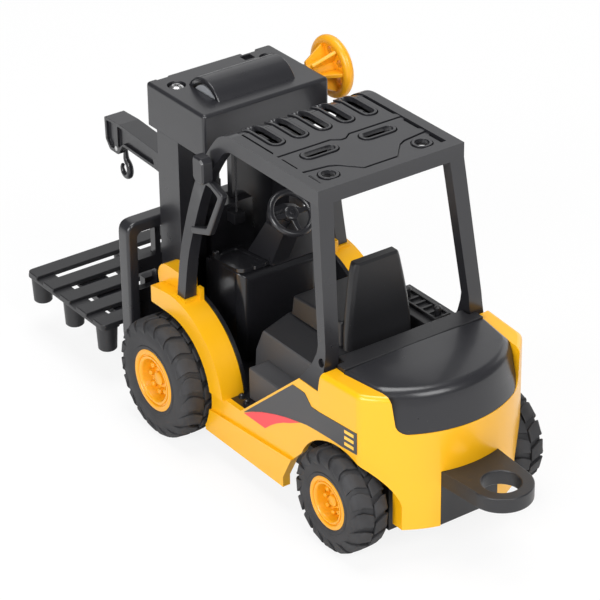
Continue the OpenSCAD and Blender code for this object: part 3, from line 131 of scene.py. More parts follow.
def arc(centre: Flat, radius: float, start: float, stop: float, steps: int) -> list[Flat]:
    """Points along an arc.

    Args:
        centre: Middle of the arc.
        radius: Its radius.
        start: First angle in degrees.
        stop: Last angle in degrees.
        steps: Number of chords.

    Returns:
        The arc's points, both ends included.
    """
    turns = [math.radians(start + (stop - start) * i / steps) for i in range(steps + 1)]
    return [(centre[0] + radius * math.cos(t), centre[1] + radius * math.sin(t)) for t in turns]


def circle(centre: Flat, radius: float, count: int = 24) -> list[Flat]:
    """Points round a whole circle."""
    return arc(centre, radius, 0, 360 - 360 / count, count - 1)


def rounded(corners: Sequence[tuple[float, float, float]], steps: int = 5) -> list[Flat]:
    """Round the corners of a closed outline.

    Args:
        corners: Corner places with the radius wanted at each.
        steps: Number of chords in each rounding.

    Returns:
        The rounded outline's points in order.
    """
    outline: list[Flat] = []
    count = len(corners)
    for i, (x, y, radius) in enumerate(corners):
        here = Vector((x, y))
        back = Vector(corners[i - 1][:2]) - here
        ahead = Vector(corners[(i + 1) % count][:2]) - here
        if radius <= 0 or back.length < 1e-6 or ahead.length < 1e-6:
            outline.append((x, y))
            continue
        half = back.angle(ahead) / 2
        reach = min(radius / math.tan(half), back.length * 0.49, ahead.length * 0.49)
        start, stop = here + back.normalized() * reach, here + ahead.normalized() * reach
        for k in range(steps + 1):
            t = k / steps
            a, b = start.lerp(here, t), here.lerp(stop, t)
            outline.append(tuple(a.lerp(b, t)))
    return outline


def stadium(centre: Flat, length: float, width: float, along_x: bool = True) -> list[Flat]:
    """Outline of a slot with round ends, from its middle, overall length and width."""
    r, half = width / 2, length / 2 - width / 2
    ends = arc((half, 0.0), r, -90, 90, 8) + arc((-half, 0.0), r, 90, 270, 8)
    turned = ends if along_x else [(-y, x) for x, y in ends]
    return [(centre[0] + x, centre[1] + y) for x, y in turned]


def rounded_box(low: Flat, high: Flat, radii: Sequence[float], steps: int) -> list[Flat]:
    """A rectangle between two corners, each of its corners with a radius of its own."""
    corners = (low, (low[0], high[1]), high, (high[0], low[1]))
    return rounded([(*corner, radius) for corner, radius in zip(corners, radii)], steps)


def bead(middle: float, ring: float, tube: float, step: int) -> list[Flat]:
    """A lathe's profile for a ring of round section."""
    turns = [math.radians(a) for a in range(0, 360, step)]
    return [(middle + tube * math.sin(t), ring + tube * math.cos(t)) for t in turns]


def grown(outline: Sequence[Flat], extra: float) -> list[Flat]:
    """An outline moved outwards by a distance."""
    points = [Vector(point) for point in outline]
    centre = Vector((sum(p[0] for p in outline), sum(p[1] for p in outline))) / len(outline)
    ring = []
    for k, point in enumerate(points):
        run = points[(k + 1) % len(points)] - points[k - 1]
        out = Vector((run.y, -run.x)).normalized()
        ring.append(tuple(point + (out if out.dot(point - centre) >= 0 else -out) * extra))
    return ring


def flow(points: Sequence[Point], steps: int = 3) -> list[Vector]:
    """A smooth curve through points, sampled between each two of them."""
    knots = [Vector(p) for p in points]
    knots = [2 * knots[0] - knots[1], *knots, 2 * knots[-1] - knots[-2]]
    curve = [knots[1]]
    for a, b, c, d in zip(knots, knots[1:], knots[2:], knots[3:]):
        for k in range(1, steps + 1):
            t = k / steps
            curve.append(
                0.5
                * (
                    2 * b
                    + (c - a) * t
                    + (2 * a - 5 * b + 4 * c - d) * t * t
                    + (3 * b - a - 3 * c + d) * t**3
                )
            )
    return curve


def heading(line: Sequence[Vector], i: int) -> Vector:
    """The way a line of points runs past one of them."""
    return line[min(i + 1, len(line) - 1)] - line[max(i - 1, 0)]


def level_ring(x0: float, x1: float, y0: float, y1: float, z: float) -> list[Vector]:
    """The corners of a level rectangle, in order."""
    return [Vector((x, y, z)) for x, y in ((x0, y1), (x1, y1), (x1, y0), (x0, y0))]


def extent(edge: bmesh.types.BMEdge, axis: int) -> float:
    """How far an edge runs along an axis, 0 to 2 for X to Z."""
    return abs(edge.verts[0].co[axis] - edge.verts[1].co[axis])


def beyond(axis: int, limit: float, rule: Callable[[Iterable], bool] = all) -> EdgeTest:
    """A test for edges with all, or any, of their ends past a limit along an axis."""
    return lambda edge: rule(vertex.co[axis] > limit for vertex in edge.verts)


def clear_selection() -> None:
    """Leave object mode's selection empty and no object active."""
    if bpy.context.mode != "OBJECT":
        bpy.ops.object.mode_set(mode="OBJECT")
    for obj in list(bpy.context.selected_objects):
        obj.select_set(False)


class Part:
    """A mesh in the making, in vehicle millimetres, shaped with edit-mode operators."""

    def __init__(self, obj: bpy.types.Object, name: str) -> None:
        """Take over an object and give it its name."""
        self.obj = obj
        self.obj.name = name
        self.obj.data.name = name

    def activate(self) -> None:
        """Select this part alone and make it active."""
        clear_selection()
        self.obj.select_set(True)
        bpy.context.view_layer.objects.active = self.obj

    # ------------------------------------------------------------ starts

    @classmethod
    def outline(cls, name: str, points: Sequence[Flat], plane: Plane, depth: float) -> "Part":
        """A flat face through an outline's points.

        Args:
            name: Name of the part.
            points: The outline in order.
            plane: Plane it is drawn in.
            depth: Place along the plane's normal.

        Returns:
            The new part, one face.
        """
        clear_selection()
        bpy.ops.mesh.primitive_circle_add(vertices=len(points), radius=1.0, fill_type="NGON")
        part = cls(bpy.context.active_object, name)
        for vertex, point in zip(part.obj.data.vertices, points):
            vertex.co = plane.lift(point, depth)
        return part

    @classmethod
    def plate(
        cls, name: str, points: Sequence[Flat], plane: Plane, start: float, stop: float
    ) -> "Part":
        """A solid plate: an outline extruded from one depth to another."""
        part = cls.outline(name, points, plane, start)
        part.extrude(plane.normal * (stop - start))
        part.tidy()
        return part

    @classmethod
    def block(cls, name: str, low: Point, high: Point) -> "Part":
        """A cube primitive brought to two corners, ready to be shaped."""
        clear_selection()
        lo, hi = Vector(low), Vector(high)
        bpy.ops.mesh.primitive_cube_add(size=1.0, location=(lo + hi) / 2, scale=hi - lo)
        bpy.ops.object.transform_apply(location=True, rotation=True, scale=True)
        return cls(bpy.context.active_object, name)

    @classmethod
    def lathe(
        cls, name: str, profile: Sequence[Flat], centre: Point, axis: Point, steps: int = 64
    ) -> "Part":
        """Spin a closed profile round an axis.

        Args:
            name: Name of the part.
            profile: Points of (distance along the axis, radius), in order.
            centre: A point on the axis, from which the first number is measured.
            axis: Direction of the axis.
            steps: Number of facets round.

        Returns:
            The turned part, a closed solid.
        """
        along = Vector(axis).normalized()
        out = along.orthogonal().normalized()
        clear_selection()
        bpy.ops.mesh.primitive_circle_add(vertices=len(profile), radius=1.0, fill_type="NOTHING")
        part = cls(bpy.context.active_object, name)
        for vertex, (reach, radius) in zip(part.obj.data.vertices, profile):
            vertex.co = Vector(centre) + along * reach + out * max(radius, 0.0)
        with part.editing() as mesh:
            for vertex in mesh.verts:
                vertex.select_set(True)
            mesh.select_flush(True)
            bmesh.update_edit_mesh(part.obj.data)
            bpy.ops.mesh.spin(
                steps=steps, angle=math.tau, center=Vector(centre), axis=along, dupli=False
            )
        part.tidy(0.002)
        return part

    @classmethod
    def loft(cls, name: str, rings: Sequence[Sequence[Vector]]) -> "Part":
        """Bridge closed rings of the same length, from one end to the other, and fill both ends."""
        pieces = []
        for i, ring in enumerate(rings):
            fill = "NGON" if i in (0, len(rings) - 1) else "NOTHING"
            clear_selection()
            bpy.ops.mesh.primitive_circle_add(vertices=len(ring), radius=1.0, fill_type=fill)
            piece = cls(bpy.context.active_object, f"{name}_ring")
            for vertex, point in zip(piece.obj.data.vertices, ring):
                vertex.co = point
            pieces.append(piece)
        part = pieces[0].join(pieces[1:])
        part.obj.name = name
        count = len(rings[0])
        with part.editing() as mesh:
            verts = list(mesh.verts)
            for start in range(0, len(verts) - count, count):
                low, high = verts[start : start + count], verts[start + count : start + 2 * count]
                for k in range(count):
                    n = (k + 1) % count
                    mesh.faces.new((low[k], low[n], high[n], high[k]))
            bmesh.update_edit_mesh(part.obj.data)
        return part.tidy()

    @classmethod
    def from_node(cls, node: str) -> "Part":
        """A working copy of a CAD node, merged, with its flat faces made whole."""
        clear_selection()
        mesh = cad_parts[node].data.copy()
        mesh.transform(TO_VEHICLE)
        mesh.materials.clear()
        obj = bpy.data.objects.new(node, mesh)
        bpy.context.scene.collection.objects.link(obj)
        return cls(obj, f"{node}_piece").flatten(merge=CAD_MERGE)

    # ------------------------------------------------------------ edit mode

    @contextlib.contextmanager
    def editing(self, select_all: bool = False) -> Iterator[bmesh.types.BMesh]:
        """Edit mode on this part alone, with nothing or everything selected."""
        self.activate()
        bpy.ops.object.mode_set(mode="EDIT")
        bpy.ops.mesh.select_mode(type="VERT")
        bpy.ops.mesh.select_all(action="SELECT" if select_all else "DESELECT")
        try:
            yield bmesh.from_edit_mesh(self.obj.data)
        finally:
            bpy.ops.object.mode_set(mode="OBJECT")

    def _pick(self, kind: str, items: Iterable, test: FaceTest | EdgeTest) -> bool:
        """Select the faces or edges that pass a test, and say whether any does."""
        bpy.ops.mesh.select_mode(type=kind)
        found = [item for item in items if test(item)]
        for item in found:
            item.select_set(True)
        bmesh.update_edit_mesh(self.obj.data)
        return bool(found)

    def extrude(self, move: Vector) -> "Part":
        """Extrude all faces by a move."""
        with self.editing() as mesh:
            self._pick("FACE", mesh.faces, lambda face: True)
            bpy.ops.mesh.extrude_region_move(TRANSFORM_OT_translate={"value": tuple(move)})
        return self

    def inset(self, faces: FaceTest, thickness: float, depth: float = 0.0) -> "Part":
        """Inset the faces that pass a test, raising them by depth."""
        with self.editing() as mesh:
            if self._pick("FACE", mesh.faces, faces):
                bpy.ops.mesh.inset(thickness=thickness, depth=depth, use_even_offset=True)
        return self

    def bevel(
        self, edges: EdgeTest, width: float, segments: int = 3, clamp: bool = True
    ) -> "Part":
        """Bevel the edges that pass a test; clamp holds the width to the shortest edge nearby."""
        with self.editing() as mesh:
            if self._pick("EDGE", mesh.edges, lambda edge: edge.is_manifold and edges(edge)):
                bpy.ops.mesh.bevel(
                    offset=width, segments=segments, affect="EDGES", clamp_overlap=clamp
                )
        return self

    def slice(self, plane: Plane, depths: Iterable[float]) -> "Part":
        """Cut new edges where planes at these depths cross the part."""
        for depth in depths:
            with self.editing(select_all=True):
                bpy.ops.mesh.bisect(
                    plane_co=tuple(plane.normal * depth), plane_no=tuple(plane.normal)
                )
        return self

    def flatten(self, degrees: float = 0.6, merge: float = 0.002) -> "Part":
        """Make each flat region one face again."""
        with self.editing(select_all=True):
            bpy.ops.mesh.remove_doubles(threshold=merge)
            bpy.ops.mesh.dissolve_limited(angle_limit=math.radians(degrees))
        return self

    def tidy(self, merge: float = 0.001) -> "Part":
        """Merge doubles, drop empty faces and turn every face outwards."""
        with self.editing(select_all=True):
            bpy.ops.mesh.remove_doubles(threshold=merge)
            bpy.ops.mesh.dissolve_degenerate(threshold=merge)
            bpy.ops.mesh.select_all(action="SELECT")
            bpy.ops.mesh.normals_make_consistent(inside=False)
        return self

    # ------------------------------------------------------------ whole part

    def place(self, rule: Callable[[Vector], Vector]) -> "Part":
        """Move every point by a rule."""
        for vertex in self.obj.data.vertices:
            vertex.co = rule(vertex.co.copy())
        self.obj.data.update()
        return self

    def turn(self, matrix: Matrix) -> "Part":
        """Transform the part's mesh, keeping its faces outwards."""
        self.obj.data.transform(matrix)
        if matrix.determinant() < 0:
            self.obj.data.flip_normals()
        return self

    def copy(self, name: str, matrix: Matrix = Matrix.Identity(4)) -> "Part":
        """A copy with its own mesh, transformed."""
        twin = self.obj.copy()
        twin.data = self.obj.data.copy()
        bpy.context.scene.collection.objects.link(twin)
        return Part(twin, name).turn(matrix)

    def row(self, name: str, axis: int, moves: Iterable[float]) -> list["Part"]:
        """Copies moved along an axis."""
        unit = Vector([float(i == axis) for i in range(3)])
        return [self.copy(name, Matrix.Translation(unit * move)) for move in moves]

    def join(self, others: Sequence["Part"]) -> "Part":
        """Join other parts into this one."""
        self.activate()
        for other in others:
            other.obj.select_set(True)
        bpy.ops.object.join()
        return self

    def _modifier(self, kind: str, **settings: object) -> None:
        """Add a modifier, set it and apply it."""
        self.activate()
        modifier = self.obj.modifiers.new(kind.lower(), kind)
        for key, value in settings.items():
            setattr(modifier, key, value)
        bpy.ops.object.modifier_apply(modifier=modifier.name)

    def combine(self, other: "Part", operation: str) -> "Part":
        """Boolean with another part, which is used up."""
        self._modifier("BOOLEAN", object=other.obj, operation=operation, solver="EXACT")
        bpy.data.objects.remove(other.obj, do_unlink=True)
        return self

    def cut(self, other: "Part") -> "Part":
        """Take another part's shape out of this one."""
        return self.combine(other, "DIFFERENCE")

    def weld(self, other: "Part") -> "Part":
        """Make one solid of this part and another."""
        return self.combine(other, "UNION")

    def soften(self, width: float, segments: int = 2, angle: float = SMOOTH) -> "Part":
        """Round every edge sharper than an angle."""
        self._modifier(
            "BEVEL",
            width=width,
            segments=segments,
            limit_method="ANGLE",
            angle_limit=math.radians(angle),
            use_clamp_overlap=True,
            harden_normals=False,
            miter_outer="MITER_ARC",
        )
        return self

    def finish(
        self,
        finish: "Finish",
        body: Body = Body.TRUCK,
        smooth: float = SMOOTH,
        stands_for: str = "",
        bend: Bend | None = None,
    ) -> bpy.types.Object:
        """Bring the part into the frame and dress it.

        Args:
            finish: What the surface is made of.
            body: Moving body it rides on, when no bend is given.
            smooth: Angle in degrees under which neighbouring faces shade as one.
            stands_for: CAD node it replaces, if that isn't the one in its own name.
            bend: The joint it crosses; given one, the part rides on no body and its place is baked
                into its mesh, the joint's places going unused.

        Returns:
            The finished object.
        """
        self.activate()
        self.obj.data.transform(TO_FRAME)
        bpy.ops.object.shade_smooth_by_angle(angle=math.radians(smooth))
        self._modifier("WEIGHTED_NORMAL", mode="FACE_AREA", weight=50, keep_sharp=True)
        self.obj.data.materials.append(finish.material())
        if bend is None:
            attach(self.obj, body.value)
        else:
            start, end = (TO_FRAME @ place for place in (bend.start, bend.end))
            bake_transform(self.obj, body.value, bend.body.value, start=tuple(start), end=tuple(end))
        node = stands_for or self.obj.name.removesuffix("_piece")
        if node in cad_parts:
            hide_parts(node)
        LOG.info("%s: %d faces, %s", self.obj.name, len(self.obj.data.polygons), finish.name)
        return self.obj


# ---------------------------------------------------------------- finishes


Operand = Union["Value", float]


class Value:
    """A shader number with arithmetic: each expression adds its Math nodes."""

    def __init__(self, shader: "Shader", socket: bpy.types.NodeSocket) -> None:
        """Wrap an output socket."""
        self.shader = shader
        self.socket = socket

    def _math(self, operation: str, *operands: Operand, clamp: bool = False) -> "Value":
        """A Math node on these operands."""
        node = self.shader.tree.nodes.new("ShaderNodeMath")
        node.operation, node.use_clamp = operation, clamp
        for i, operand in enumerate(operands):
            self.shader.feed(node.inputs[i], operand)
        return Value(self.shader, node.outputs[0])

    def __add__(self, other: Operand) -> "Value":
        """Sum."""
        return self._math("ADD", self, other)

    __radd__ = __add__

    def __sub__(self, other: Operand) -> "Value":
        """Difference."""
        return self._math("SUBTRACT", self, other)

    def __rsub__(self, other: Operand) -> "Value":
        """Difference from a number."""
        return self._math("SUBTRACT", other, self)

    def __mul__(self, other: Operand) -> "Value":
        """Product."""
        return self._math("MULTIPLY", self, other)

    __rmul__ = __mul__

    def above(self, edge: float) -> "Value":
        """1 where the value is over an edge, else 0."""
        return self._math("GREATER_THAN", self, edge)

    def below(self, edge: float) -> "Value":
        """1 where the value is under an edge, else 0."""
        return self._math("LESS_THAN", self, edge)

    def clamped(self) -> "Value":
        """The value held between 0 and 1."""
        return self._math("ADD", self, 0.0, clamp=True)

    def sine(self) -> "Value":
        """Sine of the value in radians."""
        return self._math("SINE", self)


class Shader:
    """Builds one material's node tree."""

    def __init__(self, owner: bpy.types.Material | bpy.types.World, kind: str = "Material") -> None:
        """Clear a material's or a world's nodes down to an output of its kind."""
        owner.use_nodes = True
        self.owner = owner
        self.tree = owner.node_tree
        self.tree.nodes.clear()
        self.output = self.node(f"Output{kind}")

    @classmethod
    def named(cls, name: str) -> "Shader":
        """Start a new material."""
        return cls(bpy.data.materials.new(name))

    @functools.cached_property
    def coordinates(self) -> bpy.types.NodeSocket:
        """The object's own coordinates."""
        return self.node("TexCoord").outputs["Object"]

    def feed(self, socket: bpy.types.NodeSocket, value: object) -> None:
        """Link or set an input socket."""
        if isinstance(value, Value):
            value = value.socket
        if isinstance(value, bpy.types.NodeSocket):
            self.tree.links.new(value, socket)
        else:
            socket.default_value = value

    def node(self, kind: str, settings: dict | None = None, **sockets: object) -> bpy.types.Node:
        """Add a node.

        Args:
            kind: Node type without its "ShaderNode" prefix.
            settings: Properties to set before the sockets; "stops" fills a colour ramp.
            **sockets: Values or links by socket name, underscores standing for spaces.

        Returns:
            The new node.
        """
        node = self.tree.nodes.new(f"ShaderNode{kind}")
        for key, value in (settings or {}).items():
            if key == "stops":
                ramp = node.color_ramp
                for _ in range(len(value) - 2):
                    ramp.elements.new(0.5)
                for element, (place, colour) in zip(ramp.elements, value):
                    element.position, element.color = place, (*colour, 1.0)
            else:
                setattr(node, key, value)
        for key, value in sockets.items():
            self.feed(node.inputs[key.replace("_", " ")], value)
        return node

    def noise(self, scale: float, detail: float = 3.0, roughness: float = 0.5) -> Value:
        """Noise over the object, in cycles per metre."""
        node = self.node(
            "TexNoise", Vector=self.coordinates, Scale=scale, Detail=detail, Roughness=roughness
        )
        return Value(self, node.outputs["Fac"])

    def specks(self, scale: float, size: float) -> Value:
        """1 inside small scattered dots, else 0, from cells per metre and a dot's share."""
        node = self.node("TexVoronoi", Vector=self.coordinates, Scale=scale, Randomness=1.0)
        dots = Value(self, node.outputs["Distance"]).below(size)
        tint = self.node("SeparateColor", Color=node.outputs["Color"])
        return dots * Value(self, tint.outputs[0]).above(0.8)

    def mix(self, factor: Operand, first: object, second: object) -> bpy.types.NodeSocket:
        """Mix two colours."""
        node = self.tree.nodes.new("ShaderNodeMix")
        node.data_type = "RGBA"
        self.feed(node.inputs[0], factor)
        for socket, value in ((node.inputs[6], first), (node.inputs[7], second)):
            self.feed(socket, (*value, 1.0) if isinstance(value, tuple) else value)
        return node.outputs[2]

    def bump(self, height: Value, depth: float, strength: float = 1.0) -> bpy.types.NodeSocket:
        """A bumped normal from a height, its depth in metres."""
        node = self.node("Bump", Height=height, Distance=depth, Strength=strength)
        return node.outputs["Normal"]

    def surface(self, **sockets: object) -> bpy.types.Material:
        """Finish with a Principled surface and return the material."""
        principled = self.node("BsdfPrincipled", **sockets)
        self.feed(self.output.inputs["Surface"], principled.outputs[0])
        return self.owner

    def seen_apart(self, lit: bpy.types.Node, seen: bpy.types.Node, share: float) -> None:
        """Finish with one look for light and another, by a share, for the lens."""
        rays = self.node("LightPath")
        mixed = self.node("MixShader")
        factor = Value(self, rays.outputs["Is Camera Ray"]) * share
        for socket, value in zip(mixed.inputs, (factor, lit.outputs[0], seen.outputs[0])):
            self.feed(socket, value)
        self.feed(self.output.inputs["Surface"], mixed.outputs[0])


Colour = tuple[float, float, float]
_MADE: dict[str, bpy.types.Material] = {}


@dataclass(frozen=True)
class Finish:
    """What a surface is made of; each kind builds its own material once."""

    name: str
    slot: str
    colour: Colour
    roughness: float

    def build(self) -> bpy.types.Material:
        """Build the material; overridden by each kind."""
        raise NotImplementedError

    def material(self) -> bpy.types.Material:
        """The finish's material, built the first time it is asked for."""
        if self.name not in _MADE:
            _MADE[self.name] = self.build()
        return _MADE[self.name]


@dataclass(frozen=True)
class Moulded(Finish):
    """Injection-moulded plastic: faint grain, soft uneven gloss and a little dust."""

    grain: float = 2600.0
    grain_depth: float = 0.00001
    coat: float = 0.0
    dust: float = 0.12
    flow: float = 0.05

    def build(self) -> bpy.types.Material:
        """Colour drifts with the flow of the melt; dust sits on top as pale specks."""
        shader = Shader.named(self.name)
        drift = shader.noise(28.0, 2.0)
        smear = shader.noise(140.0, 4.0, 0.6)
        grain = shader.noise(self.grain, 2.0)
        dark = tuple(c * (1 - self.flow) for c in self.colour)
        light = tuple(min(1.0, c * (1 + self.flow)) for c in self.colour)
        dusty = tuple(c + (0.62 - c) * 0.5 for c in self.colour)
        melt = shader.mix(drift, dark, light)
        colour = shader.mix(shader.specks(420.0, 0.045) * self.dust, melt, dusty)
        rough = self.roughness + (smear - 0.5) * 0.12 + (drift - 0.5) * 0.06
        return shader.surface(
            Base_Color=colour,
            Roughness=rough.clamped(),
            Normal=shader.bump(grain + smear * 0.6, self.grain_depth),
            Coat_Weight=self.coat,
            Coat_Roughness=0.12,
        )


@dataclass(frozen=True)
class Rubber(Finish):
    """Soft moulded rubber with an uneven grey bloom and a few pale specks of dust."""

    def build(self) -> bpy.types.Material:
        """Uneven grey bloom over black."""
        shader = Shader.named(self.name)
        bloom = shader.noise(160.0, 5.0, 0.62)
        grain = shader.noise(1900.0, 3.0)
        pale = tuple(c * 2.0 + 0.012 for c in self.colour)
        colour = shader.mix((bloom - 0.35) * 1.6, self.colour, pale)
        colour = shader.mix(shader.specks(560.0, 0.05) * 0.3, colour, (0.3, 0.3, 0.3))
        return shader.surface(
            Base_Color=colour,
            Roughness=(self.roughness + (bloom - 0.5) * 0.25).clamped(),
            Normal=shader.bump(grain + bloom * 1.5, 0.00004),
        )


@dataclass(frozen=True)
class Metal(Finish):
    """Plated or turned metal with fine tool marks."""

    def build(self) -> bpy.types.Material:
        """Fine scratches over a plated colour."""
        shader = Shader.named(self.name)
        marks = shader.noise(1500.0, 4.0, 0.7)
        tarnish = shader.noise(90.0, 3.0)
        dull = tuple(c * 0.72 for c in self.colour)
        return shader.surface(
            Base_Color=shader.mix(tarnish, self.colour, dull),
            Metallic=1.0,
            Roughness=(self.roughness + (marks - 0.5) * 0.2).clamped(),
            Normal=shader.bump(marks, 0.00001),
        )


@dataclass(frozen=True)
class Twisted(Finish):
    """Twisted cord: strands wind round its length."""

    def build(self) -> bpy.types.Material:
        """Slanted strands from height and distance round the vehicle's axes."""
        shader = Shader.named(self.name)
        place = shader.node("SeparateXYZ", Vector=shader.coordinates)
        x, y, z = (Value(shader, place.outputs[i]) for i in range(3))
        strands = ((x + y) * 9000.0 + z * 5200.0).sine() * 0.5 + 0.5
        fuzz = shader.noise(5200.0, 3.0)
        pale = tuple(c * 2.4 + 0.01 for c in self.colour)
        return shader.surface(
            Base_Color=shader.mix(strands, self.colour, pale),
            Roughness=(self.roughness + (fuzz - 0.5) * 0.2).clamped(),
            Normal=shader.bump(strands + fuzz * 0.4, 0.00008),
        )


@dataclass(frozen=True)
class Printed(Finish):
    """Printed self-adhesive film."""

    def build(self) -> bpy.types.Material:
        """Ink of slightly uneven density on a smooth film."""
        shader = Shader.named(self.name)
        ink = shader.noise(900.0, 3.0)
        light = tuple(min(1.0, c * 1.12 + 0.004) for c in self.colour)
        return shader.surface(
            Base_Color=shader.mix(ink, self.colour, light),
            Roughness=(self.roughness + (ink - 0.5) * 0.1).clamped(),
            Normal=shader.bump(ink, 0.000006),
        )


YELLOW = Moulded(
    "yellow_shell", "yellow_plastic", (0.88, 0.435, 0.004), 0.3, coat=0.15, dust=0.25, flow=0.035
)
ORANGE = Moulded("orange_plastic", "orange_plastic", (0.84, 0.37, 0.007), 0.36, coat=0.1, dust=0.1)
BLACK = Moulded(
    "black_plastic", "black_plastic", (0.018, 0.018, 0.021), 0.3, coat=0.2, dust=0.3, flow=0.12
)
MATTE = "matte_black_plastic"
GRAINED = Moulded(
    "grained_black", MATTE, (0.017, 0.017, 0.019), 0.4, grain=2100.0, grain_depth=0.00003, dust=0.35
)
GLOSSY = Moulded("glossy_black", MATTE, (0.012, 0.012, 0.014), 0.2, coat=0.3, dust=0.2)
# Painted light: a lighter black that stands in for the lamp light on the seat base's side faces and
# on the cab step.
PAINTED_LIT_BLACK = Moulded(
    "painted_lit_black", MATTE, (0.066, 0.066, 0.07), 0.5, grain=2400.0, grain_depth=0.00003, dust=0.3
)
NYLON = Moulded("nylon", "nylon", (0.32, 0.33, 0.35), 0.5, dust=0.1)
TYRE = Rubber("tyre_rubber", "tyre", (0.02, 0.02, 0.022), 0.66)
STEEL = Metal("plated_steel", "steel", (0.62, 0.62, 0.62), 0.28)
ZINC = Metal("cast_zinc", "zinc", (0.46, 0.46, 0.47), 0.45)
CORD = Twisted("black_cord", "cord", (0.02, 0.02, 0.022), 0.75)
FILM_GREY = Printed("film_grey", "film", (0.04, 0.04, 0.043), 0.42)
FILM_RED = Printed("film_red", "film", (0.78, 0.05, 0.06), 0.4)
FILM_YELLOW = Printed("film_yellow", "film", (0.9, 0.5, 0.06), 0.4)


WHITE = (1.0, 1.0, 1.0, 1.0)


@dataclass(frozen=True)
class Softbox:
    """A square lamp with its place, side and aim in metres and its power in watts."""

    name: str
    place: Point
    side: float
    power: float
    aim: Point = (0.0, 0.0, 0.05)

    def hang(self) -> None:
        """Put the lamp up and turn it to what it faces."""
        data = bpy.data.lights.new(self.name, "AREA")
        data.shape, data.size, data.energy = "SQUARE", self.side, self.power
        lamp = bpy.data.objects.new(self.name, data)
        bpy.context.scene.collection.objects.link(lamp)
        lamp.location = self.place
        lamp.rotation_mode = "QUATERNION"
        way = Vector(self.aim) - Vector(self.place)
        lamp.rotation_quaternion = way.to_track_quat("-Z", "Y")


LAMPS = (
    Softbox("lamp_left", (-0.45, 1.05, 0.6), 0.6, 11.5),
    Softbox("lamp_top", (0.1, 0.0, 1.3), 0.7, 10.0),
    Softbox("lamp_back", (-1.1, 0.0, 0.8), 0.6, 8.0),
    Softbox("lamp_front", (0.95, -0.7, 0.75), 1.1, 2.4, (0.0, 0.0, 0.06)),
    Softbox("lamp_right", (0.3, -1.1, 0.25), 0.9, 4.0),
)


@dataclass
class Studio:
    """Floor, backdrop, lamps and camera."""

    eye: Point = (-676.34, 496.47, 529.84)
    look: Point = (0.7109, -0.5062, -0.4882)
    roll: float = -0.78
    lens: float = 170.04
    floor_half: float = 4.0
    floor_gap: float = 0.0001
    paper: float = 0.86
    sky: Colour = (0.98, 0.99, 1.0)
    sky_strength: float = 0.15

    def floor(self) -> None:
        """A wide pale sheet that shows white to the lens and keeps a soft shadow."""
        clear_selection()
        place = (0.0, 0.0, -self.floor_gap)
        bpy.ops.mesh.primitive_plane_add(size=2 * self.floor_half, location=place)
        sheet = bpy.context.active_object
        sheet.name = "studio_floor"
        shader = Shader.named("studio_floor")
        paper = shader.node("BsdfDiffuse", Color=(self.paper, self.paper, self.paper, 1.0))
        glow = shader.node("Emission", Color=WHITE, Strength=1.0)
        shader.seen_apart(paper, glow, self.paper)
        sheet.data.materials.append(shader.owner)

    def backdrop(self) -> None:
        """World light: white to the lens, softer to the object."""
        world = bpy.data.worlds.new("studio")
        bpy.context.scene.world = world
        shader = Shader(world, "World")
        light = shader.node("Background", Color=(*self.sky, 1.0), Strength=self.sky_strength)
        shader.seen_apart(light, shader.node("Background", Color=WHITE, Strength=1.0), 1.0)

    def camera(self) -> None:
        """A long lens from behind on the left, looking down at the vehicle."""
        forward = Vector(self.look).normalized()
        level = forward.cross(Vector((0.0, 0.0, 1.0))).normalized()
        upright = level.cross(forward)
        turn = math.radians(self.roll)
        right = math.cos(turn) * level + math.sin(turn) * upright
        up = math.cos(turn) * upright - math.sin(turn) * level
        data = bpy.data.cameras.new("camera")
        data.lens, data.sensor_width = self.lens, 36.0
        data.clip_start, data.clip_end = 0.01, 50.0
        camera = bpy.data.objects.new("camera", data)
        bpy.context.scene.collection.objects.link(camera)
        pose = Matrix((right, up, -forward)).transposed().to_4x4()
        pose.translation = TO_FRAME @ Vector(self.eye)
        camera.matrix_world = pose
        bpy.context.scene.camera = camera

    def build(self) -> None:
        """Set the whole stage."""
        bpy.context.scene.view_settings.view_transform = "Standard"
        self.floor()
        self.backdrop()
        for lamp in LAMPS:
            lamp.hang()
        self.camera()


# ---------------------------------------------------------------- running gear


def about_y(centre: Flat, degrees: float) -> Matrix:
    """Turn about a line along Y through a point of the side plane."""
    middle = Vector((centre[0], 0.0, centre[1]))
    turn = Matrix.Rotation(math.radians(degrees), 4, "Y")
    return Matrix.Translation(middle) @ turn @ Matrix.Translation(-middle)


MIRROR = Matrix.Diagonal((1.0, -1.0, 1.0, 1.0))


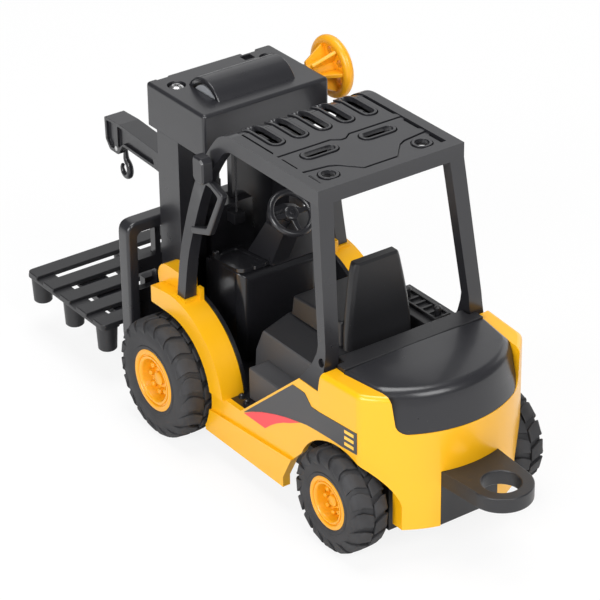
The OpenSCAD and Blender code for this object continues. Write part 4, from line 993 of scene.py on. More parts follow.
@dataclass
class Wheel:
    """A moulded rim with its bolts, and a tyre with S-shaped lugs over its shoulders."""

    axle: str
    body: Body
    lugs: int
    bolts: int = 8
    tread: float = 1.1
    fillet: float = 2.1
    camber: float = 0.01

    def __post_init__(self) -> None:
        """Read the wheel's place and sizes from the frame."""
        low, high = span(f"{self.axle}_tyre_left")
        rim_low, rim_high = span(f"{self.axle}_rim_left")
        self.centre: Flat = ((low.x + high.x) / 2, (low.z + high.z) / 2)
        self.radius = (high.z - low.z) / 2
        self.middle, self.half = (low.y + high.y) / 2, (high.y - low.y) / 2
        self.hub: Point = (self.centre[0], self.middle, self.centre[1])
        self.lip = (rim_high.z - rim_low.z) / 2
        self.seat = self.lip - 0.8
        self.crown = self.half - 2.6

    def section(self, reach: float) -> tuple[float, float, float]:
        """Where a distance along the tyre's section lies.

        Args:
            reach: Distance from the middle of the tread, over the shoulder and down the wall.

        Returns:
            Its Y from the wheel's middle, its radius, and how much of the normal is radial.
        """
        top = self.radius - self.tread
        if reach <= self.crown:
            return reach, top - self.camber * reach * reach, 1.0
        edge = top - self.camber * self.crown * self.crown
        turn = (reach - self.crown) / self.fillet
        if turn < math.pi / 2:
            fall = self.fillet * (1 - math.cos(turn))
            return self.crown + self.fillet * math.sin(turn), edge - fall, math.cos(turn)
        down = reach - self.crown - self.fillet * math.pi / 2
        return self.crown + self.fillet, edge - self.fillet - down, 0.0

    def carcass(self) -> Part:
        """The smooth body of the tyre, with a bead ring beside the rim."""
        bend = self.fillet * math.pi / 2
        wall = self.crown + bend
        depth = self.section(wall)[1] - self.seat - 1.6
        outer = []
        for share in (1.0, 0.8, 0.6, 0.4, 0.2):
            y, radius, _ = self.section(wall + depth * share)
            outer.append((y + 0.42 * math.sin(math.pi * share), radius))
        reaches = [self.crown + bend * share for share in (1.0, 0.75, 0.5, 0.25, 0.0)]
        reaches += [self.crown * share for share in (0.66, 0.33)]
        outer += [self.section(reach)[:2] for reach in reaches]
        bead = [
            (self.half - 1.6, self.seat), (self.half - 0.7, self.seat + 0.3),
            (self.half - 0.2, self.lip + 0.5), (self.half - 0.1, self.lip + 1.1),
            (self.half - 0.5, self.lip + 1.5),
        ]  # fmt: skip
        half = bead + outer
        profile = half + [(0.0, self.section(0.0)[1])] + [(-y, r) for y, r in reversed(half)]
        return Part.lathe(f"{self.axle}_tyre_left", profile, self.hub, Y_AXIS, 88)

    def lug(self) -> Part:
        """One lug of the tyre's outer half, drawn flat and then wrapped round the section."""
        pitch = math.tau * self.radius / self.lugs
        stops = (
            (0.25, 0.0, 0.64), (2.0, 0.12, 0.70), (4.0, 0.24, 0.74), (5.6, 0.22, 0.76),
            (6.9, 0.08, 0.66), (8.1, -0.08, 0.48), (9.2, -0.26, 0.26), (9.9, -0.40, 0.12),
        )  # fmt: skip
        front = [(pitch * (lean + wide / 2), reach) for reach, lean, wide in stops]
        back = [(pitch * (lean - wide / 2), reach) for reach, lean, wide in stops]
        part = Part.plate(f"{self.axle}_lug", front + back[::-1], Plane.PLAN, -0.5, self.tread)
        part.bevel(beyond(Z, 0.0), 0.28, 2)
        part.slice(Plane.FACE, [0.0])
        part.slice(Plane.SIDE, [1.2, 3.0, 4.8, 6.2, 7.5, 8.7])

        def wrap(point: Vector) -> Vector:
            """Carry a flat point onto the tyre, its height fading down the wall."""
            y, radius, radial = self.section(point.y)
            fade = 1.0 - 0.8 * min(1.0, max(0.0, (point.y - 5.0) / 4.2))
            height = point.z * fade if point.z > 0 else point.z
            turn = point.x / self.radius
            reach = radius + height * radial
            y += height * math.sqrt(max(0.0, 1.0 - radial * radial))
            x, z = self.centre
            return Vector((x + reach * math.sin(turn), self.middle + y, z + reach * math.cos(turn)))

        return part.place(wrap)

    def tyre(self) -> Part:
        """The carcass with its two staggered rows of lugs."""
        tyre, lug = self.carcass(), self.lug()
        step = 360.0 / self.lugs
        swap = Matrix.Translation((0.0, 2 * self.middle, 0.0)) @ MIRROR
        inner = lug.copy("inner_lug", about_y(self.centre, step / 2) @ swap)
        rows = [lug, inner]
        for i in range(1, self.lugs):
            rows += [row.copy("lug", about_y(self.centre, step * i)) for row in (lug, inner)]
        return tyre.join(rows)

    def rim(self) -> Part:
        """Dish, double lip and hub boss turned in one, with moulded bolts round the boss."""
        face, seat, lip = self.half - 0.2, self.seat, self.lip
        floor, back = face - 4.4, 0.7 - self.half
        boss = [
            (2.3, 0.0), (2.3, 0.17), (2.0, 0.21), (1.0, 0.225), (0.9, 0.30), (0.3, 0.33),
            (0.0, 0.36), (0.0, 0.56), (0.5, 0.605),
        ]  # fmt: skip
        flange = [
            (1.2, 0.66), (0.5, 0.685), (0.25, 0.72), (0.3, 0.765), (0.75, 0.785), (0.8, 0.815),
            (0.25, 0.835), (0.0, 0.87), (0.0, 0.94), (0.25, 0.985), (0.7, 1.0), (1.0, 1.0),
        ]  # fmt: skip
        profile = [(floor + rise, lip * share) for rise, share in boss]
        profile += [(face - sink, lip * share) for sink, share in flange]
        profile += [(face - 1.0, seat), (back, seat), (back, seat - 1.3)]
        profile += [(floor - 1.6, seat * 0.8), (floor - 1.6, 0.0)]
        rim = Part.lathe(f"{self.axle}_rim_left", profile, self.hub, Y_AXIS, 72)
        foot = self.middle + floor
        outline = circle((self.centre[0] + lip * 0.455, self.centre[1]), lip * 0.098, 15)
        bolt = Part.plate("bolt", outline, Plane.SIDE, foot - 0.3, foot + 2.1)
        bolt.bevel(beyond(Y, foot + 2.0), lip * 0.06, 3)
        turns = [360.0 / self.bolts * i for i in range(1, self.bolts)]
        return rim.join([bolt, *(bolt.copy("bolt", about_y(self.centre, turn)) for turn in turns)])

    def build(self) -> None:
        """Make the left wheel and mirror it to the right."""
        for kind, part, finish in (("tyre", self.tyre(), TYRE), ("rim", self.rim(), ORANGE)):
            twin = part.copy(f"{self.axle}_{kind}_right_piece", MIRROR)
            part.obj.name = f"{self.axle}_{kind}_left_piece"
            part.finish(finish, self.body, 40.0)
            twin.finish(finish, self.body, 40.0)


# ---------------------------------------------------------------- rounded mouldings


@dataclass(frozen=True)
class Moulding:
    """A node whose CAD shape is right, with the edge radius its mould gives it."""

    node: str
    finish: Finish
    body: Body = Body.TRUCK
    edge: float = 0.35
    segments: int = 2
    # Finish for the side faces: a lighter black that paints the light falling on them.
    painted_lit_flanks: Finish | None = None

    def build(self) -> bpy.types.Object:
        """Round the copy's edges and dress it."""
        part = Part.from_node(self.node).soften(self.edge, self.segments)
        piece = part.finish(self.finish, self.body)
        if self.painted_lit_flanks is not None:
            piece.data.materials.append(self.painted_lit_flanks.material())
            # Faces turned to either side get the lighter black, as painted light.
            for face in piece.data.polygons:
                face.material_index = int(abs(face.normal.y) > 0.7)
        return piece


MOULDINGS = (
    Moulding("chassis_tray", GRAINED),
    Moulding("rear_deck", GRAINED),
    # The seat base's side faces are painted lighter, standing in for the light on them.
    Moulding("seat_base", GRAINED, edge=0.6, painted_lit_flanks=PAINTED_LIT_BLACK),
    Moulding("mast_frame", BLACK, edge=0.3),
    Moulding("carriage", BLACK, Body.CARRIAGE, 0.2),
    Moulding("fork_left", BLACK, Body.CARRIAGE, 0.3),
    Moulding("fork_right", BLACK, Body.CARRIAGE, 0.3),
)


# ---------------------------------------------------------------- body


@dataclass
class RearBody:
    """Yellow shell with its soft edges, printed side films, engine hood and tow hitch."""

    tail_x: float = -33.0
    tail_r: float = 42.0
    taper_x: float = -39.0
    drawn_in: float = 1.7 / 20.5
    brim_z: float = 62.3
    hood_skirt: float = 4.0
    shell_half: float = 35.5
    film: float = 0.18

    def __post_init__(self) -> None:
        """Read the hood's outline from the frame."""
        self.hood_low, self.hood_high = span("engine_hood")

    def shell(self) -> None:
        """The shell's own shape, with large radii where the mould has them."""
        part = Part.from_node("body_shell")
        middle = Vector((self.tail_x, 0.0))

        def corner(edge: bmesh.types.BMEdge) -> bool:
            """Upright edges where a side panel meets the rounded tail."""
            here = edge.verts[0].co
            upright = extent(edge, X) < 0.05 and extent(edge, Y) < 0.05 and extent(edge, Z) > 15
            return upright and abs(here.y) > 32.5 and -60.0 < here.x < -52.0

        def brim(edge: bmesh.types.BMEdge) -> bool:
            """Outer top edges of the side panels and the tail."""
            return all(
                v.co.z >= self.brim_z
                and (abs(v.co.y) > 33.85 or (v.co.xy - middle).length > self.tail_r - 0.8)
                for v in edge.verts
            )

        part.bevel(corner, 3.0, 5)
        part.bevel(brim, 1.9, 5, clamp=False)
        part.soften(0.45, 3)
        part.finish(YELLOW)

    def side_film(self) -> None:
        """Grey band, red swoosh and three short bars, printed on each side."""
        band = [
            (4.9, 26.5), (-24.2, 51.4), (-30.9, 51.4), (-34.6, 47.9), (-57.3, 48.2),
            (-57.3, 40.2), (-50.0, 40.0), (-44.0, 40.3), (-38.2, 40.3), (-32.0, 39.6),
            (-27.0, 38.5), (-20.7, 37.0), (-13.8, 34.9), (-6.1, 32.0), (-0.2, 29.2),
        ]  # fmt: skip
        swoosh = [
            (4.6, 26.3), (-0.2, 29.1), (-6.1, 31.9), (-13.8, 34.8), (-20.7, 36.9), (-28.0, 38.5),
            (-22.4, 35.6), (-18.6, 33.9), (-14.6, 31.6), (-11.3, 29.3), (-7.9, 26.4),
        ]  # fmt: skip
        prints = [("grey_band", band, 0.0, FILM_GREY), ("red_swoosh", swoosh, 0.0, FILM_RED)]
        for i in range(3):
            z = 46.5 - 2.3 * i
            bar = [(-51.4, z - 0.6), (-51.4, z + 0.6), (-55.9, z + 0.6), (-55.9, z - 0.6)]
            prints.append((f"yellow_bar_{i}", bar, self.film - 0.05, FILM_YELLOW))

        def follow(point: Vector) -> Vector:
            """Lay the film on the panel where it draws in."""
            return point - Vector((0.0, max(0.0, self.taper_x - point.x) * self.drawn_in, 0.0))

        for name, outline, start, finish in prints:
            stop = self.film if start == 0.0 else self.film + 0.05
            film = Part.plate(
                f"{name}_left", outline, Plane.SIDE, self.shell_half + start, self.shell_half + stop
            )
            film.slice(Plane.FACE, [self.taper_x])
            film.place(follow)
            twin = film.copy(f"{name}_right", MIRROR)
            for part, side in ((film, "left"), (twin, "right")):
                part.finish(finish, stands_for=f"side_film_{side}" if name == "grey_band" else "")

    def hood_ring(self, z: float, inset: float) -> list[Vector]:
        """The hood's outline in plan at a height, drawn in by inset."""
        low, high, skirt = self.hood_low, self.hood_high, self.hood_skirt
        foot = low.z + skirt
        side = 27.8 - 1.2 * max(0.0, high.z - max(z, foot)) / (high.z - foot)
        if z < foot:
            side += math.sqrt(max(0.0, skirt**2 - (foot - z) ** 2)) - skirt
        radius = self.tail_r - 0.15 - 3.8 * (z - low.z) / (high.z - low.z) - inset
        side -= inset * 0.6
        wide = side + (2.2 if z > low.z + 5.3 else 0.0)
        start = math.degrees(math.asin(min(0.98, side / radius)))
        tip = self.tail_x - radius * math.cos(math.radians(start))
        arcs = arc((self.tail_x, 0.0), radius, 180 - start, 180 + start, 28)
        left = [(high.x, wide), ((high.x + tip) / 2, (wide + side) / 2)]
        right = [(x, -y) for x, y in left[::-1]]
        front = [(high.x, -wide / 2), (high.x, 0.0), (high.x, wide / 2)]
        return [Vector((x, y, z)) for x, y in left + arcs + right + front]

    def hood(self) -> None:
        """A crowned hood with a leaning rear face and a soft rear edge."""
        low, high, seam = self.hood_low.z, self.hood_high.z, self.hood_high.x
        crown, edge_r = high - 0.7, 3.0
        steps = (0.0, 0.25, 0.7, 1.5, 2.6, 4.0, 5.2, 5.4, 8.4, 11.2)
        rings = [self.hood_ring(low + step, 0.0) for step in steps]
        for turn in (15, 30, 45, 60, 75, 90):
            angle = math.radians(turn)
            rise, inset = edge_r * (1 - math.sin(angle)), edge_r * (1 - math.cos(angle))
            rings.append(self.hood_ring(crown - rise, inset))
        middle = Vector((-55.0, 0.0, crown))
        for share, rise in ((0.18, 0.22), (0.4, 0.42), (0.65, 0.56), (0.95, 0.62)):
            ring = []
            for point in self.hood_ring(crown, edge_r):
                place = point.lerp(middle, share)
                x = point.x if point.x > seam - 0.01 else place.x
                ring.append(Vector((x, place.y, crown + rise)))
            rings.append(ring)
        hood = Part.loft("engine_hood_piece", rings)
        front, upper = beyond(X, seam - 0.05), beyond(Z, low + 6)

        def lip(edge: bmesh.types.BMEdge) -> bool:
            """The sharp edges round the hood's front face."""
            return front(edge) and upper(edge) and edge.calc_face_angle(0.0) > 0.7

        hood.bevel(lip, 0.35, 2)
        hood.finish(BLACK, smooth=50.0)

    def hitch(self) -> None:
        """The tow hitch with its eye rounded over and countersunk."""
        part = Part.from_node("tow_hitch")
        tail = span("tow_hitch")[0].x
        eye = Vector((tail + 10.8, 0.0))

        def reach(edge: bmesh.types.BMEdge) -> list[float]:
            """How far a level edge's ends are from the eye's middle."""
            return [(v.co.xy - eye).length for v in edge.verts] if extent(edge, Z) < 0.02 else []

        def rim(edge: bmesh.types.BMEdge) -> bool:
            """Outer edges of the eye, above and below."""
            away = reach(edge)
            return bool(away) and min(away) > 9.5 and all(v.co.x < tail + 14 for v in edge.verts)

        def hole(edge: bmesh.types.BMEdge) -> bool:
            """The hole's two edges."""
            away = reach(edge)
            return bool(away) and max(away) < 7.5

        part.bevel(rim, 1.3, 4)
        part.bevel(hole, 0.7, 3)
        part.soften(0.3, 2, 40.0)
        part.finish(GRAINED)

    def build(self) -> None:
        """Make the shell, its films, the hood and the hitch."""
        self.shell()
        self.hitch()
        self.side_film()
        self.hood()


# ---------------------------------------------------------------- overhead guard


@dataclass
class OverheadGuard:
    """Roof frame with bent rails and four pillars, relief panel, lamps and grab handle."""

    tail: float = -31.2
    half: float = 29.5
    rail_w: float = 4.0
    rail_h: float = 5.6
    bend_x: float = 16.6
    bend_r: float = 13.7
    bend_turn: float = 52.0
    pillar_w: float = 4.6

    def __post_init__(self) -> None:
        """Read the roof's height and the lamp's box from the frame."""
        self.top = span("overhead_guard")[1].z
        self.lamp = span("work_lamp_left")

    def rail(self) -> Part:
        """One rail, flat, bent and led down into the curved front pillar."""
        mid, bends, foot = self.bend_r - self.rail_h / 2, 8, 54.3
        y = self.half - self.rail_w / 2
        line = [Vector((self.tail, y, self.top - self.rail_h / 2))]
        for i in range(bends + 1):
            turn = math.radians(self.bend_turn * i / bends)
            x = self.bend_x + mid * math.sin(turn)
            line.append(Vector((x, y, self.top - self.bend_r + mid * math.cos(turn))))
        end = line[-1]
        pillar = [
            tuple(end), (28.0, 27.5, 112.8), (31.3, 27.5, 108.2), (34.4, 27.5, 103.0),
            (36.7, 27.6, 98.1), (39.7, 27.9, 89.9), (42.0, 29.1, 79.1), (42.9, 30.7, 68.6),
            (42.6, 32.5, foot),
        ]  # fmt: skip
        line += flow(pillar)[1:]
        rings = []
        for i, place in enumerate(line):
            run = heading(line, i)
            run.y = 0.0
            out = Vector((-run.z, 0.0, run.x)).normalized()
            share = max(0.0, (end.z - place.z) / (end.z - foot)) if i > bends + 1 else 0.0
            tall = self.rail_h + (self.pillar_w - self.rail_h) * share
            wide = self.rail_w + (self.pillar_w - self.rail_w) * share
            across = Vector((0.0, wide / 2, 0.0))
            turns = ((1, 1), (1, -1), (-1, -1), (-1, 1))
            rings.append([place + sign * out * tall / 2 + turn * across for sign, turn in turns])
        return Part.loft("rail", rings)

    def rear_pillar(self) -> Part:
        """A rear pillar that leans back and flares into its foot."""
        head = self.top - self.rail_h + 0.6
        levels = (
            (-31.2, -26.8, 23.6, 29.45, head), (-38.2, -34.1, 26.9, 32.3, 69.6),
            (-38.4, -33.6, 27.0, 32.5, 66.6), (-38.3, -31.6, 27.5, 33.3, 61.5),
            (-38.2, -29.3, 27.9, 34.6, 57.6), (-38.0, -27.8, 28.1, 35.4, 55.5),
        )  # fmt: skip
        return Part.loft("rear_pillar", [level_ring(*level) for level in levels])

    def frame_work(self) -> Part:
        """Rails, pillars and rear bar as one moulding with rounded edges."""
        low, front = self.top - self.rail_h, self.tail + 4.4
        section = [(self.tail, low), (self.tail, self.top), (front, self.top), (front, low)]
        sides = []
        for part in (self.rail(), self.rear_pillar()):
            sides += [part, part.copy("twin", MIRROR)]
        bar = Part.plate("overhead_guard_piece", section, Plane.SIDE, -self.half, self.half)
        for side in sides:
            bar.weld(side)
        bar.flatten(0.3)
        screw = (-36.6, 64.4)
        hole = Part.plate("hole", circle(screw, 1.5), Plane.SIDE, 31.2, 36.0)
        head = Part.plate("head", circle(screw, 1.05), Plane.SIDE, 31.0, 31.9)
        for cutter in (hole.copy("hole_right", MIRROR), hole):
            bar.cut(cutter)
        bar.soften(0.65, 3)
        return bar.join([head.copy("head_right", MIRROR), head])

    def arched(self, part: Part) -> Part:
        """Bend a part drawn on the unrolled roof over the front edge."""
        part.slice(Plane.FACE, [self.bend_x + 1.1 * i for i in range(12)])

        def rule(point: Vector) -> Vector:
            """Points ahead of the bend turn round its centre."""
            radius = self.bend_r + point.z
            turn = max(0.0, point.x - self.bend_x) / self.bend_r
            x = min(point.x, self.bend_x) + radius * math.sin(turn)
            return Vector((x, point.y, self.top - self.bend_r + radius * math.cos(turn)))

        return part.place(rule)

    def zones(self) -> list[Part]:
        """The panel's three relief levels over a backing sheet."""
        inner, back = self.half - self.rail_w + 0.05, self.tail + 4.3
        pocket = inner - 1.1
        dip = [(-2.5, inner), (-2.5, 3.8), (-4.6, 0.9), (-4.6, -0.9), (-2.5, -3.8), (-2.5, -inner)]
        dip_b = [(x - 0.5, y) for x, y in dip]
        yoke = [
            (-15.9, inner), (-17.2, 15.4), (-18.6, 12.6), (-25.2, 6.6),
            (-25.2, -6.6), (-18.6, -12.6), (-17.2, -15.4), (-15.9, -inner),
        ]  # fmt: skip
        yoke_b = [(x - 0.5, y) for x, y in yoke]
        front = [
            (17.6, pocket), (0.4, pocket), (-0.6, inner), *dip, (-0.6, -inner), (0.4, -pocket),
            (17.6, -pocket),
        ]  # fmt: skip
        middle = [
            (-4.2, inner), (-5.2, pocket), (-13.0, pocket), (-14.0, inner), *yoke, (-14.0, -inner),
            (-13.0, -pocket), (-5.2, -pocket), (-4.2, -inner), *dip_b[::-1],
        ]  # fmt: skip
        rear = [
            *yoke_b, (-18.0, -inner), (-19.0, -pocket), (back + 0.7, -pocket), (back + 0.7, pocket),
            (-19.0, pocket), (-18.0, inner),
        ]  # fmt: skip
        whole = [(29.0, inner), (back, inner), (back, -inner), (29.0, -inner)]
        lip = [(28.6, inner), (18.1, inner), (18.1, -inner), (28.6, -inner)]
        sheets = []
        for name, outline, low, high in (
            ("backing", whole, -2.6, -1.5), ("front_zone", front, -1.6, -0.25),
            ("middle_zone", middle, -1.6, -0.45), ("rear_zone", rear, -1.6, -0.7),
            ("front_lip", lip, -1.6, -0.45),
        ):  # fmt: skip
            sheets.append(Part.plate(name, outline, Plane.PLAN, low, high))
        return sheets

    def panel(self) -> Part:
        """Relief panel with rimmed slots and holes, bent with the roof."""
        slots = [(stadium((14.4, 9.45 * i), 19.4, 4.0), -0.25) for i in range(-2, 3)]
        slots += [(stadium((-7.7, 11.8 * s), 12.2, 3.6, False), -0.45) for s in (1, -1)]
        slots += [(circle((-22.3, 18.9 * s), 2.5), -0.7) for s in (1, -1)]
        sheets = self.zones()
        pieces = []
        for i, (outline, level) in enumerate(slots):
            for sheet in sheets:
                reach = outline if sheet.obj.name == "backing" else grown(outline, 1.35)
                sheet.cut(Part.plate("moat", reach, Plane.PLAN, -4.0, 1.0))
            rim = Part.plate(f"rim_{i}", grown(outline, 0.95), Plane.PLAN, -2.7, level + 0.4)
            rim.cut(Part.plate("bore", outline, Plane.PLAN, -4.0, 1.0))
            pieces.append(self.arched(rim.soften(0.2, 2)))
        for sheet in sheets:
            pieces.append(self.arched(sheet.flatten(0.3).soften(0.18, 2)))
        roof = pieces.pop().join(pieces)
        roof.obj.name = "roof_panel_piece"
        return roof

    def lamps(self) -> None:
        """Two small work lamps with an inset front."""
        low, high = self.lamp
        x, z = (low.x + high.x) / 2, (low.z + high.z) / 2
        w, h = (high.x - low.x) / 2, (high.z - low.z) / 2
        side = [
            (x - w, z - h + 1, 0.8), (x - w, z + h - 1.4, 0.8), (x - w + 1.6, z + h, 0.8),
            (x + w - 0.5, z + h, 0.8), (x + w, z + h - 1.4, 0.6), (x + w, z - h + 1.6, 0.6),
            (x + w - 1.4, z - h, 0.8), (x - w + 1, z - h, 0.8),
        ]  # fmt: skip
        lamp = Part.plate("work_lamp_left_piece", rounded(side, 3), Plane.SIDE, low.y, high.y)
        lamp.bevel(beyond(Y, high.y - 0.01), 0.9, 1)
        lamp.inset(lambda face: face.normal.x > 0.98, 0.5, -0.4)
        lamp.soften(0.35, 3)
        twin = lamp.copy("work_lamp_right_piece", MIRROR)
        for part in (lamp, twin):
            part.finish(BLACK)

    def handle(self) -> None:
        """The grab handle behind the left front pillar."""
        outer = [(35.0, 103.4, 0), (28.4, 103.2, 1.0), (20.6, 100.7, 1.4), (29.4, 82.4, 1.4),
                 (40.6, 78.6, 0), (40.6, 82.0, 0), (35.0, 100.5, 0)]  # fmt: skip
        inner = [(36.0, 100.9, 0), (28.2, 101.0, 0.8), (23.9, 99.0, 0.8), (31.2, 84.6, 0.8),
                 (37.0, 82.6, 0.8), (43.0, 81.0, 0)]  # fmt: skip
        grip = Part.plate("grab_handle_piece", rounded(outer, 4), Plane.SIDE, 28.6, 31.2)
        grip.cut(Part.plate("loop", rounded(inner, 4), Plane.SIDE, 27.0, 33.0))
        grip.soften(0.55, 3)
        grip.finish(BLACK)

    def build(self) -> None:
        """Make the guard with all that is fixed to it."""
        self.frame_work().finish(BLACK)
        self.panel().finish(BLACK)
        section = [(0, 0), (0, 1.2), (2.4, 1.2), (2.4, 0)]
        for side, sign in (("left", 1), ("right", -1)):
            place = (30.2, sign * 28.9, self.lamp[0].z + 4.7)
            Part.lathe(f"lamp_stub_{side}", section, place, (0, sign, 0), 16).finish(BLACK)
        self.lamps()
        self.handle()


# ---------------------------------------------------------------- cab


@dataclass
class Cab:
    """Seat, dash with its lid, steering column with instrument panel, and steering wheel."""

    cushion_lift: float = 2.0
    lid_t: float = 1.4
    dash_corner: float = 4.6
    slope: float = 2.4 / 22.0
    wheel: Point = (21.8, 2.5, 85.3)
    wheel_lean: float = 43.0
    wheel_r: float = 8.8
    tube: float = 1.15

    def seat(self) -> None:
        """A seat back that narrows to its top, on a cushion with a soft front edge."""
        low, high = span("seat_back")
        levels = (
            (0.0, 0.0, -14.5, 12.4), (6.0, 0.2, -14.4, 12.3), (14.0, 0.55, -13.4, 11.4),
            (22.0, 1.0, -12.0, 10.1), (28.0, 1.4, -10.9, 9.0), (30.2, 1.5, -10.3, 8.3),
            (31.0, 1.6, -9.4, 7.3),
        )  # fmt: skip
        drawn = levels[-1][0]
        share = (high.z - low.z) / drawn
        rings = []
        for rise, lean, y0, y1 in levels:
            trim = 0.7 if rise == drawn else 0.0
            x0, x1 = low.x + 0.5 + lean + trim, low.x + 4.8 + lean - trim
            rings.append(level_ring(x0, x1, y0, y1, low.z + rise * share))
        back = Part.loft("seat_back_piece", rings)
        back.bevel(lambda edge: extent(edge, Z) > 1.0, 1.9, 5)
        back.inset(lambda face: face.normal.x > 0.95 and face.calc_area() > 50, 2.6, 0.0)
        back.soften(0.5, 2)
        back.finish(GRAINED)
        cushion = Part.from_node("seat_cushion")
        middle = sum(corner.z for corner in span("seat_cushion")) / 2
        lift = Vector((0.0, 0.0, self.cushion_lift))
        cushion.place(lambda point: point + lift if point.z > middle else point)
        cushion.soften(0.9, 3)
        cushion.finish(GRAINED)

    def dash(self) -> None:
        """A console with a rounded near corner, and a lid with its tab and knob."""
        face = span("dash_console")[0].x
        part = Part.from_node("dash_console")

        def corner(edge: bmesh.types.BMEdge) -> bool:
            """The upright edges that face the driver."""
            return all(abs(v.co.x - face) < 0.05 and abs(v.co.y) > 17.3 for v in edge.verts)

        part.bevel(corner, self.dash_corner, 6)
        part.soften(0.5, 3)
        part.finish(GLOSSY)
        low, high = span("dash_lid")
        x0, x1, y0, y1 = low.x, high.x, low.y, high.y
        plan = rounded_box((x0, y0), (x1, y1), (0.8, self.dash_corner, 1.6, 0.8), 6)
        lid = Part.plate("dash_lid_piece", plan, Plane.PLAN, -0.1, self.lid_t)
        edge = 1.9
        recess = [
            (x0 + edge, y0 + edge, 0.6), (x0 + edge, y1 - edge, self.dash_corner - 1.6),
            (x1 - 3.8, y1 - edge, 1.2), (x1 - edge, y1 - 4.4, 1.2), (x1 - edge, y0 + edge, 0.6),
        ]  # fmt: skip
        well = (self.lid_t - 0.45, self.lid_t + 1)
        panel = Part.plate("panel", rounded(recess, 5), Plane.PLAN, *well)
        lid.cut(panel)
        outline = rounded_box((x0 - 0.9, 7.0), (x0 + 1.5, 12.0), (0.8, 0.8, 0.4, 0.4), 3)
        tab = Part.plate("tab", outline, Plane.PLAN, 0.3, self.lid_t + 0.3)
        profile = [(0.0, 0.0), (0.0, 1.3), (1.5, 1.3), (1.9, 0.9), (2.0, 0.0)]
        place = (x1 - 1.8, y1 - 1.8, self.lid_t - 0.1)
        lid.join([tab, Part.lathe("knob", profile, place, Z_AXIS, 20)])
        lid.soften(0.3, 3)
        top = low.z + self.slope * (x1 - x0)
        lid.place(lambda point: point + Vector((0.0, 0.0, top - self.slope * (point.x - x0))))
        lid.finish(GLOSSY)

    def column(self) -> None:
        """The boxed column with the instrument panel behind the steering wheel."""
        part = Part.from_node("steering_column")
        part.soften(0.9, 3)
        outline = [
            (3.9, 61.0, 0.5), (3.9, 81.5, 1.6), (-3.5, 82.0, 1.6), (-7.7, 80.6, 1.0),
            (-8.9, 78.8, 1.0), (-13.4, 77.4, 1.6), (-14.0, 61.0, 0.5),
        ]  # fmt: skip
        panel = Part.plate("panel", rounded(outline, 4), Plane.FACE, 31.2, 35.0)
        panel.soften(0.6, 3)
        pod = Part.block("pod", (33.0, -16.0, 59.0), (42.0, -5.5, 66.0))
        pod.bevel(beyond(Z, 65.9, any), 2.2, 5)
        part.join([panel, pod])
        part.finish(BLACK)

    def floor(self) -> None:
        """The polished floor with its studs and rubber mat, and the step beside the seat in a
        lighter black that paints the light on it.
        """
        floor = Part.from_node("cab_floor")
        floor.soften(0.2, 2)
        low, high = span("seat_base")
        level = low.z
        stud = [(-0.2, 0.0), (-0.2, 1.1), (0.5, 1.1), (0.9, 0.7), (1.0, 0.0)]
        for i, (x, y) in enumerate(((14.6, 29.6), (10.6, 30.4), (19.0, 26.2), (24.0, 22.5))):
            floor.join([Part.lathe(f"stud_{i}", stud, (x, y, level), Z_AXIS, 20)])
        floor.finish(GLOSSY)
        mat = Part.block("floor_mat", (20.9, -15.0, level - 0.1), (34.4, 18.0, level + 0.4))
        rib = Part.block("rib", (21.4, -14.6, level + 0.3), (34.0, -13.9, level + 0.9))
        mat.join([*rib.row("rib", Y, (1.6 * i for i in range(20))), rib])
        mat.soften(0.15, 2)
        mat.finish(GLOSSY)
        near = (low.x + 6.85, high.y - 0.3, level - 0.1)
        step = Part.block("cab_step", near, (high.x - 8.15, high.y + 8.25, level + 12.15))
        step.soften(0.7, 3)
        # Painted light: the step gets the lighter black that stands for the lamp light on it.
        step.finish(PAINTED_LIT_BLACK)

    def pedals(self) -> None:
        """Three pedals that reach out of the recess under the dash."""
        level, face = span("seat_base")[0].z, span("dash_console")[0].x
        side = [
            (face + 4.4, level + 5.4), (face - 3.4, level + 3.9), (face - 4.2, level + 5.2),
            (face + 4.4, level + 7.8),
        ]  # fmt: skip
        first = Part.plate("pedals_piece", side, Plane.SIDE, -10.0, -5.6)
        first.join(first.row("pedal", Y, (8.0, 17.0)))
        first.soften(0.4, 3)
        first.finish(GLOSSY)

    def console(self) -> None:
        """The console on the far side, with its railed tray and two knobs."""
        part = Part.from_node("side_console")
        part.soften(0.5, 3)
        level = span("side_console")[1].z
        tray = Part.block("tray", (-24.4, -30.6, level - 0.2), (-1.8, -23.6, level + 1.3))
        tray.cut(Part.block("well", (-23.4, -29.6, level + 0.1), (-2.8, -24.6, level + 2)))
        tray.soften(0.3, 2)
        ribs = [
            Part.block("rib", (x, -29.8, level), (x + 0.9, -24.4, level + 0.9))
            for x in (-19.6, -15.8, -12.0, -8.2)
        ]
        knob = [(0.0, 0.0), (0.0, 1.2), (1.9, 1.1), (2.6, 1.5), (3.4, 1.3), (3.8, 0.6), (3.9, 0.0)]
        places = [(x, -27.1, level + 0.1) for x in (-21.6, -4.6)]
        knobs = [Part.lathe("knob", knob, place, Z_AXIS, 24) for place in places]
        part.join([tray, *ribs, *knobs])
        part.finish(GRAINED)

